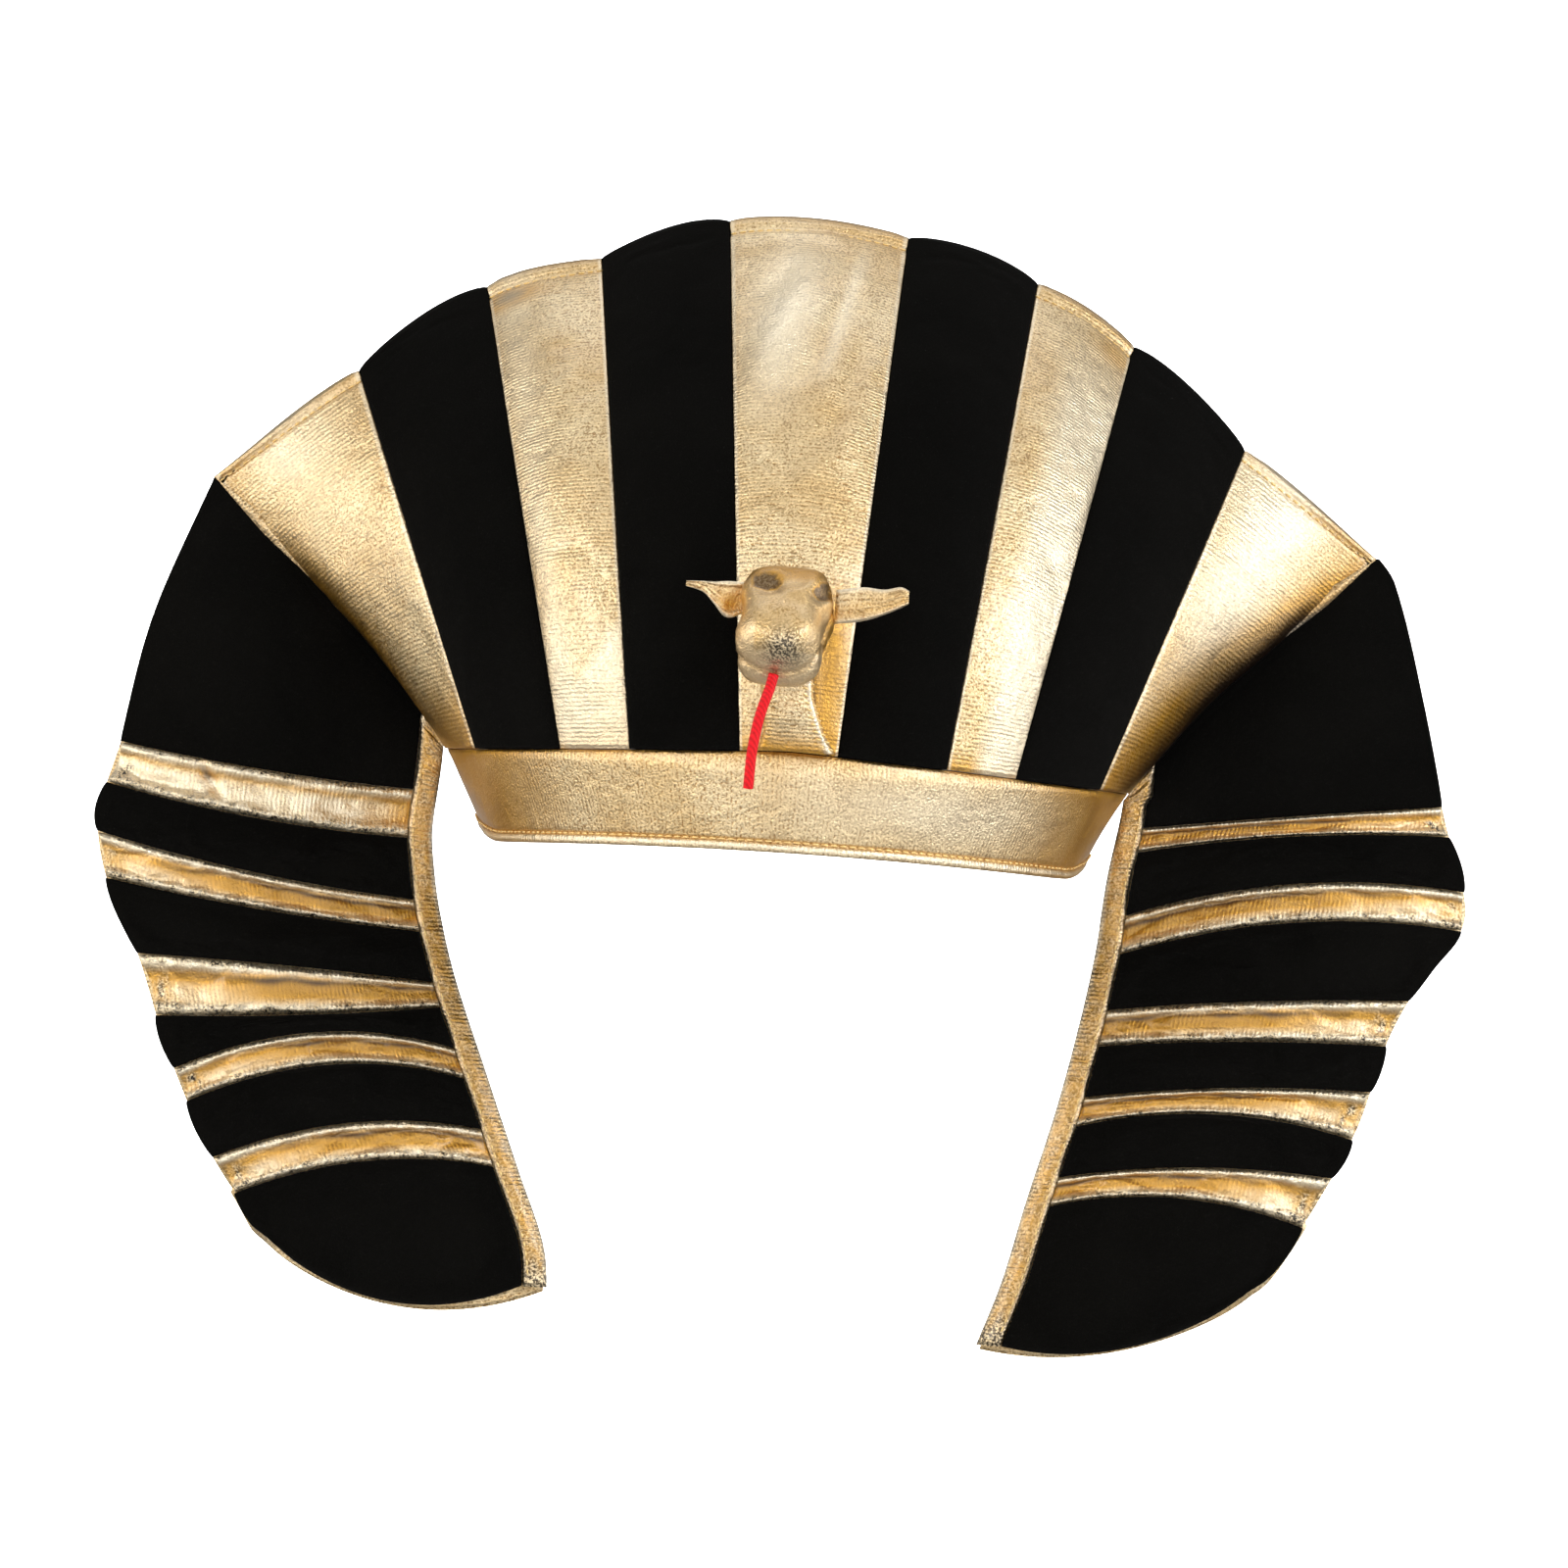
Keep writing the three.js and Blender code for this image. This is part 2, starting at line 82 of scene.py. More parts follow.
def through_points(points, share):
    """A smooth centripetal curve, the same one that the solids follow."""
    place = share * (len(points) - 1)
    first = min(int(place), len(points) - 2)
    t = place - first
    p1 = points[first]
    p2 = points[first + 1]
    p0 = points[first - 1] if first > 0 else 2 * p1 - p2
    p3 = points[first + 2] if first + 2 < len(points) else 2 * p2 - p1
    before, middle, after = ((b - a).length ** 0.5 for a, b in ((p0, p1), (p1, p2), (p2, p3)))
    leave = (p1 - p0) / before - (p2 - p0) / (before + middle) + (p2 - p1) / middle
    arrive = (p2 - p1) / middle - (p3 - p1) / (middle + after) + (p3 - p2) / after
    leave *= middle
    arrive *= middle
    bend = 3 * (p2 - p1) - 2 * leave - arrive
    return p1 + leave * t + bend * t ** 2 + (2 * (p1 - p2) + leave + arrive) * t ** 3


def new_piece(name, points, faces, material):
    """A mesh object at the origin with smooth faces that point outwards."""
    mesh = bpy.data.meshes.new(name)
    mesh.from_pydata(points, [], faces)
    shell = bmesh.new()
    shell.from_mesh(mesh)
    bmesh.ops.recalc_face_normals(shell, faces=shell.faces)
    shell.to_mesh(mesh)
    shell.free()
    mesh.shade_smooth()
    mesh.materials.append(material)
    piece = bpy.data.objects.new(name, mesh)
    scene.collection.objects.link(piece)
    return piece


def shader_node(tree, kind, inputs, **settings):
    """A node with its settings, and its inputs linked or filled in."""
    made = tree.nodes.new(kind)
    for name, value in settings.items():
        setattr(made, name, value)
    for key, value in inputs.items():
        if isinstance(value, bpy.types.NodeSocket):
            tree.links.new(value, made.inputs[key])
        else:
            made.inputs[key].default_value = value
    return made


def new_material(name):
    material = bpy.data.materials.new(name)
    material.use_nodes = True
    return material, material.node_tree, material.node_tree.nodes["Principled BSDF"]


def satin_cord():
    material, tree, shader = new_material("red_satin_cord")
    place = shader_node(tree, "ShaderNodeTexCoord", {})
    twist = shader_node(
        tree, "ShaderNodeTexWave",
        {"Vector": place.outputs["Object"], "Scale": 420, "Distortion": 1.5, "Detail": 1},
        bands_direction="DIAGONAL",
    )
    shade = shader_node(tree, "ShaderNodeMix", {
        "Factor": twist.outputs["Fac"], "A": cord_shadow, "B": cord_red,
    }, data_type="RGBA")
    relief = shader_node(tree, "ShaderNodeBump", {
        "Height": twist.outputs["Fac"], "Distance": 0.00015, "Strength": 0.6,
    })
    tree.links.new(shade.outputs["Result"], shader.inputs["Base Color"])
    tree.links.new(relief.outputs["Normal"], shader.inputs["Normal"])
    shader.inputs["Roughness"].default_value = 0.45
    shader.inputs["Specular IOR Level"].default_value = 0.2
    return material


tongue_path = [through_points(tongue_route, row / tongue_rows) for row in range(tongue_rows + 1)]
tongue_points = []
for row, middle in enumerate(tongue_path):
    ahead = tongue_path[min(row + 1, tongue_rows)] - tongue_path[max(row - 1, 0)]
    aside = Vector((0, -1, 0)).cross(ahead).normalized()
    outward = ahead.cross(aside).normalized()
    for side in range(tongue_sides):
        angle = 2 * pi * side / tongue_sides
        wide = aside * cos(angle) * tongue_width / 2
        tongue_points.append(middle + wide + outward * sin(angle) * tongue_thickness / 2)
tongue_faces = [tuple(range(tongue_sides)), tuple(range(tongue_rows * tongue_sides, len(tongue_points)))]
for row in range(tongue_rows):
    for side in range(tongue_sides):
        here = row * tongue_sides + side
        beside = row * tongue_sides + (side + 1) % tongue_sides
        tongue_faces.append((here, beside, beside + tongue_sides, here + tongue_sides))
tongue = new_piece("tongue_cord", tongue_points, tongue_faces, satin_cord())
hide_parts("tongue")
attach(tongue, "root")

# Brow band: a foam strip wrapped in gold foil knit, whose lower edge is rolled under and
# topstitched in gold thread. The knit's ribs stand upright on it.
head_length = 0.198
head_breadth = 0.17
band_thickness = 0.003
band_height = 0.029
band_flare = 0.011
band_dip = 0.0026
band_taper = 0.003
band_corner = 0.0065
clearance = 0.0003
hem_roll = 0.0027
hem_top = 0.15
seam_allowance = 0.0008
rib_pitch = 0.00128
foil_tan = (0.77, 0.56, 0.28, 1)
foil_bright = (0.94, 0.77, 0.48, 1)
cracked_brown = (0.36, 0.2, 0.06, 1)
# Painted shade and highlight: amber and brown stand in for shade in seams, folds and cloth turned from
# the lamps, cream for the lamps' glare
painted_shade_amber = (0.62, 0.325, 0.04, 1)
painted_shade_brown = (0.065, 0.03, 0.01, 1)
painted_highlight_cream = (1, 0.9, 0.7, 1)
rubbed_black = (0.02, 0.014, 0.008, 1)
rubbed_tan = (0.85, 0.69, 0.44, 1)
thread_shadow = (0.6, 0.36, 0.09, 1)
thread_gold = (0.98, 0.8, 0.42, 1)


def gold_foil():
    """Foil printed on a ribbed knit. The attributes of a piece give the shade painted into it, amber
    up to 1 and brown beyond, the highlight painted on it in cream, and where it is worn."""
    material, tree, shader = new_material("gold_foil_knit")
    weave = shader_node(tree, "ShaderNodeUVMap", {}, uv_map="cloth")
    along = shader_node(tree, "ShaderNodeSeparateXYZ", {0: weave.outputs["UV"]})
    place = shader_node(tree, "ShaderNodeTexCoord", {}).outputs["Object"]
    clouds = shader_node(tree, "ShaderNodeTexNoise", {"Vector": place, "Scale": 42, "Detail": 3})
    wander = shader_node(tree, "ShaderNodeTexNoise", {"Vector": place, "Scale": 320, "Detail": 2})
    grain = shader_node(tree, "ShaderNodeTexNoise", {"Vector": place, "Scale": 1500, "Detail": 3})
    crinkle = shader_node(tree, "ShaderNodeTexNoise", {
        "Vector": place, "Scale": 130, "Detail": 4, "Distortion": 0.8,
    })
    shifted = shader_node(tree, "ShaderNodeMath", {
        0: wander.outputs["Fac"], 1: 0.0009, 2: along.outputs["Y"],
    }, operation="MULTIPLY_ADD")
    phase = shader_node(tree, "ShaderNodeMath", {0: shifted.outputs[0], 1: 2 * pi / rib_pitch},
                        operation="MULTIPLY")
    rib = shader_node(tree, "ShaderNodeMath", {0: phase.outputs[0]}, operation="SINE")
    rib_share = shader_node(tree, "ShaderNodeMapRange", {
        "Value": rib.outputs[0], "From Min": -1, "From Max": 1,
    })
    rib_fade = shader_node(tree, "ShaderNodeMapRange", {
        "Value": crinkle.outputs["Fac"], "From Min": 0.36, "From Max": 0.6,
        "To Min": 0.25, "To Max": 1,
    })
    rib_height = shader_node(tree, "ShaderNodeMath", {
        0: rib_share.outputs[0], 1: rib_fade.outputs[0],
    }, operation="MULTIPLY")
    tone = shader_node(tree, "ShaderNodeMapRange", {
        "Value": clouds.outputs["Fac"], "From Min": 0.35, "From Max": 0.65,
    })
    base = shader_node(tree, "ShaderNodeMix", {
        "Factor": tone.outputs[0], "A": foil_tan, "B": foil_bright,
    }, data_type="RGBA")
    cracks = shader_node(tree, "ShaderNodeMapRange", {
        "Value": grain.outputs["Fac"], "From Min": 0.4, "From Max": 0.55,
        "To Min": 1, "To Max": 0,
    })
    rib_valley = shader_node(tree, "ShaderNodeMapRange", {
        "Value": rib_height.outputs[0], "From Min": 0, "From Max": 0.6,
        "To Min": 1, "To Max": 0.35,
    })
    cracked_ribs = shader_node(tree, "ShaderNodeMath", {
        0: cracks.outputs[0], 1: rib_valley.outputs[0],
    }, operation="MULTIPLY")
    printed = shader_node(tree, "ShaderNodeMix", {
        "Factor": cracked_ribs.outputs[0], "A": base.outputs["Result"], "B": cracked_brown,
    }, data_type="RGBA")
    # Painted shade from the piece's attribute: amber up to 1, brown beyond 1
    painted_shade = shader_node(tree, "ShaderNodeAttribute", {}, attribute_name="painted_shade")
    amber_shaded = shader_node(tree, "ShaderNodeMix", {
        "Factor": painted_shade.outputs["Fac"], "A": printed.outputs["Result"], "B": painted_shade_amber,
    }, data_type="RGBA")
    deep_shade_share = shader_node(tree, "ShaderNodeMath", {0: painted_shade.outputs["Fac"], 1: 1},
                               operation="SUBTRACT", use_clamp=True)
    tucked = shader_node(tree, "ShaderNodeMix", {
        "Factor": deep_shade_share.outputs[0], "A": amber_shaded.outputs["Result"], "B": painted_shade_brown,
    }, data_type="RGBA")
    wear_and_shade = shader_node(tree, "ShaderNodeAttribute", {}, attribute_name="wear_and_shade")
    rubbed_share = shader_node(tree, "ShaderNodeMapRange", {
        "Value": grain.outputs["Fac"], "From Min": 0.44, "From Max": 0.58,
    })
    rubbed_cloth = shader_node(tree, "ShaderNodeMix", {
        "Factor": rubbed_share.outputs[0], "A": rubbed_black, "B": rubbed_tan,
    }, data_type="RGBA")
    # Painted highlight from the piece's attribute: cream
    pale = shader_node(tree, "ShaderNodeAttribute", {}, attribute_name="pale")
    highlighted = shader_node(tree, "ShaderNodeMix", {
        "Factor": pale.outputs["Fac"], "A": tucked.outputs["Result"], "B": painted_highlight_cream,
    }, data_type="RGBA")
    rubbed = shader_node(tree, "ShaderNodeMix", {
        "Factor": wear_and_shade.outputs["Fac"], "A": highlighted.outputs["Result"],
        "B": rubbed_cloth.outputs["Result"],
    }, data_type="RGBA")
    gloss = shader_node(tree, "ShaderNodeMapRange", {
        "Value": wander.outputs["Fac"], "From Min": 0.3, "From Max": 0.7,
        "To Min": 0.3, "To Max": 0.46,
    })
    crinkled = shader_node(tree, "ShaderNodeBump", {
        "Height": crinkle.outputs["Fac"], "Distance": 0.0011, "Strength": 0.5,
    })
    ribbed = shader_node(tree, "ShaderNodeBump", {
        "Height": rib_height.outputs[0], "Distance": 0.00016, "Strength": 0.9,
        "Normal": crinkled.outputs["Normal"],
    })
    grained = shader_node(tree, "ShaderNodeBump", {
        "Height": grain.outputs["Fac"], "Distance": 0.0004, "Strength": 1,
        "Normal": ribbed.outputs["Normal"],
    })
    tree.links.new(rubbed.outputs["Result"], shader.inputs["Base Color"])
    tree.links.new(gloss.outputs[0], shader.inputs["Roughness"])
    tree.links.new(grained.outputs["Normal"], shader.inputs["Normal"])
    shader.inputs["Metallic"].default_value = 0.96
    shader.inputs["Coat Weight"].default_value = 1
    shader.inputs["Coat IOR"].default_value = 1.5
    shader.inputs["Coat Roughness"].default_value = 0.3
    return material


def gold_thread():
    material, tree, shader = new_material("gold_thread")
    place = shader_node(tree, "ShaderNodeTexCoord", {}).outputs["Object"]
    strands = shader_node(tree, "ShaderNodeTexNoise", {"Vector": place, "Scale": 2400, "Detail": 2})
    shade = shader_node(tree, "ShaderNodeMix", {
        "Factor": strands.outputs["Fac"], "A": thread_shadow, "B": thread_gold,
    }, data_type="RGBA")
    tree.links.new(shade.outputs["Result"], shader.inputs["Base Color"])
    shader.inputs["Roughness"].default_value = 0.42
    shader.inputs["Metallic"].default_value = 0.6
    return material


gold = gold_foil()
thread = gold_thread()


def even_shares(steps):
    return [step / steps for step in range(steps + 1)]


def set_attribute(piece, name, values):
    layer = piece.data.attributes.new(name, "FLOAT", "POINT")
    layer.data.foreach_set("value", values)


def sewn_sheet(name, across_shares, along_shares, place, material, painted_shade=None, pale=None):
    """A closed sheet of cloth. place(across, along, front) gives a point; the next function gives the
    shade painted into the cloth there and the last the highlight painted on it. Its UV map is
    measured in metres."""
    columns = len(across_shares)
    rows = len(along_shares)
    points = []
    painted_shades = []
    highlights = []
    for front in (True, False):
        for along in along_shares:
            for across in across_shares:
                points.append(place(across, along, front))
                painted_shades.append(painted_shade(across, along) if painted_shade and front else 0)
                highlights.append(pale(across, along) if pale and front else 0)
    layer = columns * rows
    faces = []
    for row in range(rows - 1):
        for column in range(columns - 1):
            corner = row * columns + column
            quad = (corner, corner + 1, corner + 1 + columns, corner + columns)
            faces.append(quad)
            faces.append(tuple(layer + index for index in reversed(quad)))
    rim = list(range(columns))
    rim += [row * columns + columns - 1 for row in range(1, rows)]
    rim += [(rows - 1) * columns + column for column in range(columns - 2, -1, -1)]
    rim += [row * columns for row in range(rows - 2, 0, -1)]
    for here, beside in zip(rim, rim[1:] + rim[:1]):
        faces.append((here, here + layer, beside + layer, beside))
    piece = new_piece(name, points, faces, material)
    middle = columns // 2
    spine = [points[row * columns + middle] for row in range(rows)]
    reach = [0.0]
    for low, high in zip(spine, spine[1:]):
        reach.append(reach[-1] + (high - low).length)
    flat = []
    for row in range(rows):
        start = points[row * columns]
        for column in range(columns):
            flat.append(((points[row * columns + column] - start).length, reach[row]))
    chart = piece.data.uv_layers.new(name="cloth")
    for loop in piece.data.loops:
        chart.data[loop.index].uv = flat[loop.vertex_index % layer]
    piece["columns"] = columns
    set_attribute(piece, "painted_shade", painted_shades)
    set_attribute(piece, "pale", highlights)
    return piece


def band_turn_angle(turn):
    return turn * pi / 2


def front_band_top(turn):
    return band_height - (band_dip + band_taper) * abs(sin(band_turn_angle(turn))) ** 1.2


side_band_top = front_band_top(1)


def band_half_breadth(height):
    share = min(1, max(0, height / side_band_top))
    return head_breadth / 2 + band_thickness + band_flare * share ** 1.5


def band_half_length(height):
    widened = band_half_breadth(height) - head_breadth / 2
    return head_length / 2 + band_thickness + (widened - band_thickness) / 3


def rounded_corner(turn):
    """How far the lower edge rises as the band turns back at its side seams."""
    reach = (head_breadth / 2 + band_thickness) * (1 - abs(sin(band_turn_angle(turn))))
    inside = max(0, 1 - reach / band_corner)
    return band_corner * (1 - (1 - inside ** 2) ** 0.5)


def band_point(turn, height, facing, depth):
    angle = band_turn_angle(turn)
    y = max((band_half_length(height) - depth) * cos(angle), clearance / 2)
    return Vector(((band_half_breadth(height) - depth) * sin(angle), facing * y, height))


def brow_band_point(turn_share, along, front):
    turn = 2 * turn_share - 1
    bottom = rounded_corner(turn) - band_dip * sin(band_turn_angle(turn)) ** 2
    top = front_band_top(turn) + seam_allowance * max(0, 10 * abs(turn) - 9)
    height = bottom + (top - bottom) * along
    above = height - bottom
    roll = 0.0009 * max(0, sin(pi * min(1, above / hem_roll))) ** 0.5
    groove = -0.0006 * exp(-((above - hem_roll - 0.0004) / 0.0005) ** 2)
    body = 0.0014 * sin(pi * max(0, min(1, (along - 0.08) / 0.92))) ** 0.6
    ends = min(1, (1 - abs(turn)) * 12)
    ripple = 0.0007 * noise.noise(Vector((turn * 6, above * 22, 3.7))) * sin(pi * along)
    near_hem = exp(-abs(above - hem_roll) / 0.0022)
    pucker = 0.00035 * near_hem * noise.noise(Vector((turn * 42, above * 160, 9.1)))
    proud = (roll + groove + body + ripple + pucker) * ends if front else -band_thickness
    return band_point(turn, height, -1, -proud)


# Painted shade: amber along the hem, under the top edge and over the ends where the band turns away
def brow_band_painted_shade(turn_share, along):
    turn = abs(2 * turn_share - 1)
    at_hem = exp(-((along - 0.11) / 0.025) ** 2)
    at_ends = min(1, max(0, (turn - 0.45) / 0.3))
    return min(1, 0.55 * at_hem + 0.9 * exp((along - 1) / 0.06) + 0.9 * at_ends)


# Painted highlight: cream along the rolled hem and on a broad patch right of the middle
def brow_band_highlight(turn_share, along):
    hem_highlight = 0.7 * exp(-((along - 0.055) / 0.03) ** 2)
    smooth = 0.5 * exp(-((turn_share - 0.66) / 0.13) ** 2 - ((along - 0.55) / 0.35) ** 2)
    return max(hem_highlight, smooth)


band_rows = [hem_top * share for share in even_shares(14)]
band_rows += [hem_top + (1 - hem_top) * share for share in even_shares(22)[1:]]
band_columns = even_shares(220)
brow_band = sewn_sheet(
    "brow_band_foil", band_columns, band_rows, brow_band_point, gold, brow_band_painted_shade, brow_band_highlight,
)
# The ribs of the knit stand upright on the band, so its map runs along it
band_arc = head_length / 2 * pi * 0.95
front_layer = len(brow_band.data.vertices) // 2
for loop in brow_band.data.loops:
    row, column = divmod(loop.vertex_index % front_layer, len(band_columns))
    place_on_map = (band_rows[row] * band_height, band_columns[column] * band_arc)
    brow_band.data.uv_layers["cloth"].data[loop.index].uv = place_on_map


def stitch_tree():
    """Geometry nodes that lay short thread stitches along a line."""
    tree = bpy.data.node_groups.new("stitch_row", "GeometryNodeTree")
    face = tree.interface
    face.new_socket("Geometry", in_out="INPUT", socket_type="NodeSocketGeometry")
    for name in ("Pitch", "Stitch Length", "Thread Radius"):
        face.new_socket(name, in_out="INPUT", socket_type="NodeSocketFloat")
    face.new_socket("Thread", in_out="INPUT", socket_type="NodeSocketMaterial")
    face.new_socket("Geometry", in_out="OUTPUT", socket_type="NodeSocketGeometry")
    given = tree.nodes.new("NodeGroupInput").outputs
    line = shader_node(tree, "GeometryNodeMeshToCurve", {"Mesh": given["Geometry"]})
    spaced = shader_node(tree, "GeometryNodeResampleCurve", {
        "Curve": line.outputs["Curve"], "Length": given["Pitch"],
    }, mode="LENGTH")
    tangent = shader_node(tree, "GeometryNodeInputTangent", {})
    turned = shader_node(tree, "FunctionNodeAlignRotationToVector", {
        "Vector": tangent.outputs["Tangent"],
    }, axis="Z")
    bead = shader_node(tree, "GeometryNodeMeshUVSphere", {"Segments": 7, "Rings": 5, "Radius": 1})
    long_half = shader_node(tree, "ShaderNodeMath", {0: given["Stitch Length"], 1: 0.5},
                            operation="MULTIPLY")
    stretch = shader_node(tree, "ShaderNodeCombineXYZ", {
        "X": given["Thread Radius"], "Y": given["Thread Radius"], "Z": long_half.outputs[0],
    })
    laid = shader_node(tree, "GeometryNodeInstanceOnPoints", {
        "Points": spaced.outputs["Curve"], "Instance": bead.outputs["Mesh"],
        "Rotation": turned.outputs["Rotation"], "Scale": stretch.outputs["Vector"],
    })
    real = shader_node(tree, "GeometryNodeRealizeInstances", {"Geometry": laid.outputs["Instances"]})
    coloured = shader_node(tree, "GeometryNodeSetMaterial", {
        "Geometry": real.outputs["Geometry"], "Material": given["Thread"],
    })
    out = tree.nodes.new("NodeGroupOutput")
    tree.links.new(coloured.outputs["Geometry"], out.inputs["Geometry"])
    return tree


stitches = stitch_tree()


def stitch_row(name, lines, pitch, length, radius):
    """Rows of thread stitches that follow lines of points on the cloth."""
    points = []
    edges = []
    for line in lines:
        first = len(points)
        points += line
        edges += [(first + step, first + step + 1) for step in range(len(line) - 1)]
    mesh = bpy.data.meshes.new(name + "_line")
    mesh.from_pydata(points, edges, [])
    guide = bpy.data.objects.new(name + "_line", mesh)
    scene.collection.objects.link(guide)
    modifier = guide.modifiers.new("stitches", "NODES")
    modifier.node_group = stitches
    values = {"Pitch": pitch, "Stitch Length": length, "Thread Radius": radius, "Thread": thread}
    for socket in stitches.interface.items_tree:
        if socket.in_out == "INPUT" and socket.name in values:
            modifier[socket.identifier] = values[socket.name]
    evaluated = guide.evaluated_get(bpy.context.evaluated_depsgraph_get())
    row = bpy.data.objects.new(name, bpy.data.meshes.new_from_object(evaluated))
    row.data.shade_smooth()
    scene.collection.objects.link(row)
    bpy.data.objects.remove(guide)
    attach(row, "root")
    return row


def dress(piece, node):
    """The finished padded piece stands for its solid."""
    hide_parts(node)
    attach(piece, "root")


dress(brow_band, "brow_band")
hem_line = []
for share in even_shares(260)[4:-4]:
    on_hem = brow_band_point(share, 0.113, True)
    hem_line.append(on_hem + Vector((on_hem.x, on_hem.y, 0)).normalized() * 0.0002)
stitch_row("brow_band_topstitch", [hem_line], pitch=0.0027, length=0.0021, radius=0.00036)

# Back band: a plain black strip that elastic draws into small gathers. It closes the loop
# behind the head and is sewn to the brow band at the side seams.
back_band_rise = 0.004
back_gathers = 46
velvet_black = (0.0012, 0.0012, 0.0011, 1)
velvet_brushed = (0.0036, 0.0034, 0.003, 1)


def black_velvet():
    """Short dense pile that swallows nearly all light, brushed this way and that."""
    material, tree, shader = new_material("black_velvet")
    place = shader_node(tree, "ShaderNodeTexCoord", {}).outputs["Object"]
    brushed = shader_node(tree, "ShaderNodeTexNoise", {
        "Vector": place, "Scale": 30, "Detail": 4, "Distortion": 0.6,
    })
    pile = shader_node(tree, "ShaderNodeTexNoise", {"Vector": place, "Scale": 1700, "Detail": 3})
    shade = shader_node(tree, "ShaderNodeMix", {
        "Factor": brushed.outputs["Fac"], "A": velvet_black, "B": velvet_brushed,
    }, data_type="RGBA")
    tufts = shader_node(tree, "ShaderNodeBump", {
        "Height": pile.outputs["Fac"], "Distance": 0.0003, "Strength": 0.6,
    })
    tree.links.new(shade.outputs["Result"], shader.inputs["Base Color"])
    tree.links.new(tufts.outputs["Normal"], shader.inputs["Normal"])
    shader.inputs["Roughness"].default_value = 0.95
    shader.inputs["Specular IOR Level"].default_value = 0.02
    shader.inputs["Sheen Weight"].default_value = 0.008
    shader.inputs["Sheen Roughness"].default_value = 0.5
    return material


velvet = black_velvet()


def back_band_point(turn_share, along, front):
    turn = 2 * turn_share - 1
    height = back_band_rise + (side_band_top - back_band_rise) * along
    gather = 0.0007 * cos(2 * pi * back_gathers * turn_share) * sin(pi * along) ** 0.5
    gather *= 1 - abs(turn) ** 8
    return band_point(turn, height, 1, -gather if front else band_thickness - gather)


back_band = sewn_sheet("back_band_cloth", even_shares(276), even_shares(12), back_band_point, velvet)
dress(back_band, "back_band")

# Fan crown: nine padded stripes, gold foil knit and black velvet in turn, seamed side by side
# on foam. They fan out from the brow band and their top ends roll over the crest.
crown_height = 0.184
crown_half_span = 0.172
fan_wall = 0.004
gold_puff = 0.0022
velvet_puff = 0.0042
lappet_edge = 0.0026
lining_clearance = 0.0006
lining_thickness = 0.001
stripes_in_fan = 9
outer_stripe = stripes_in_fan // 2
fan_end = stripes_in_fan / 2
fan_lean = 2.3
hood_lean = 1.8
# Left across, left rise, right across, right rise and turn round the band, from the middle out
fan_seams = [
    (0.159, 0.99, 0.145, 0.982, 0.092),
    (0.371, 0.918, 0.368, 0.923, 0.306),
    (0.561, 0.861, 0.537, 0.834, 0.463),
    (0.768, 0.715, 0.736, 0.682, 0.736),
    (1, 0.534, 0.97, 0.525, 1),
]
crest_points = [Vector((-row[0] * crown_half_span, 0, row[1] * crown_height)) for row in fan_seams[::-1]]
crest_points += [Vector((row[2] * crown_half_span, 0, row[3] * crown_height)) for row in fan_seams]
turn_points = [Vector((-row[4], 0, 0)) for row in fan_seams[::-1]]
turn_points += [Vector((row[4], 0, 0)) for row in fan_seams]
filling_frames = 20
crest_stitch_rise = 0.979
cloth_of = {"gold": gold, "velvet": velvet}
puff_of = {"gold": gold_puff, "velvet": velvet_puff}


@lru_cache(maxsize=None)
def crown_rib(place, facing):
    """The foot on the band and the top on the crest of one line up the crown."""
    share = (place + fan_end) / stripes_in_fan
    crest = through_points(crest_points, share)
    turn = through_points(turn_points, share).x
    angle = band_turn_angle(turn)
    top = clearance + (front_band_top(turn) if facing < 0 else side_band_top)
    foot = Vector((
        band_half_breadth(band_height) * sin(angle),
        facing * band_half_length(band_height) * cos(angle),
        top,
    ))
    return foot, crest


def crown_surface(place, rise, facing):
    foot, crest = crown_rib(place, facing)
    surface = foot.lerp(crest, rise)
    surface.y = foot.y * (1 - rise ** (fan_lean if facing < 0 else hood_lean))
    return surface


def crown_outward(place, rise, facing):
    step = 0.02
    near_end = max(-fan_end, place - step)
    far_end = min(fan_end, place + step)
    along_fan = crown_surface(far_end, rise, facing) - crown_surface(near_end, rise, facing)
    low = max(0, rise - step)
    high = min(1, rise + step)
    upward = crown_surface(place, high, facing) - crown_surface(place, low, facing)
    return (along_fan.cross(upward) * -facing).normalized()


def crown_wall_point(place, rise, facing, offset):
    at_side = abs(place) >= fan_end - 1e-9
    outward = crown_outward(place, rise, facing)
    if at_side or rise == 1:
        outward.y = 0
    if rise == 0:
        outward.z = 0
    outward /= max(outward.length_squared, 0.4)
    placed = crown_surface(place, rise, facing) + outward * offset
    layers = lappet_edge / 2 + clearance
    layers += lining_clearance + lining_thickness if facing > 0 else 0
    clear = layers if at_side else clearance / 2
    placed.y = facing * max(facing * placed.y, clear)
    return placed


def fullness_up_fan(rise):
    return sin(pi * (0.1 + 0.8 * rise)) ** 0.6


def crease(at, start, end, width):
    """How near a point in the front view is to a soft crease from start to end."""
    line = (end[0] - start[0], end[1] - start[1])
    length_squared = line[0] ** 2 + line[1] ** 2
    share = ((at.x - start[0]) * line[0] + (at.z - start[1]) * line[1]) / length_squared
    share_in = min(1, max(0, share))
    away = hypot(at.x - start[0] - share_in * line[0], at.z - start[1] - share_in * line[1])
    return exp(-(away / width) ** 2) * sin(pi * min(0.98, max(0.02, share_in)))


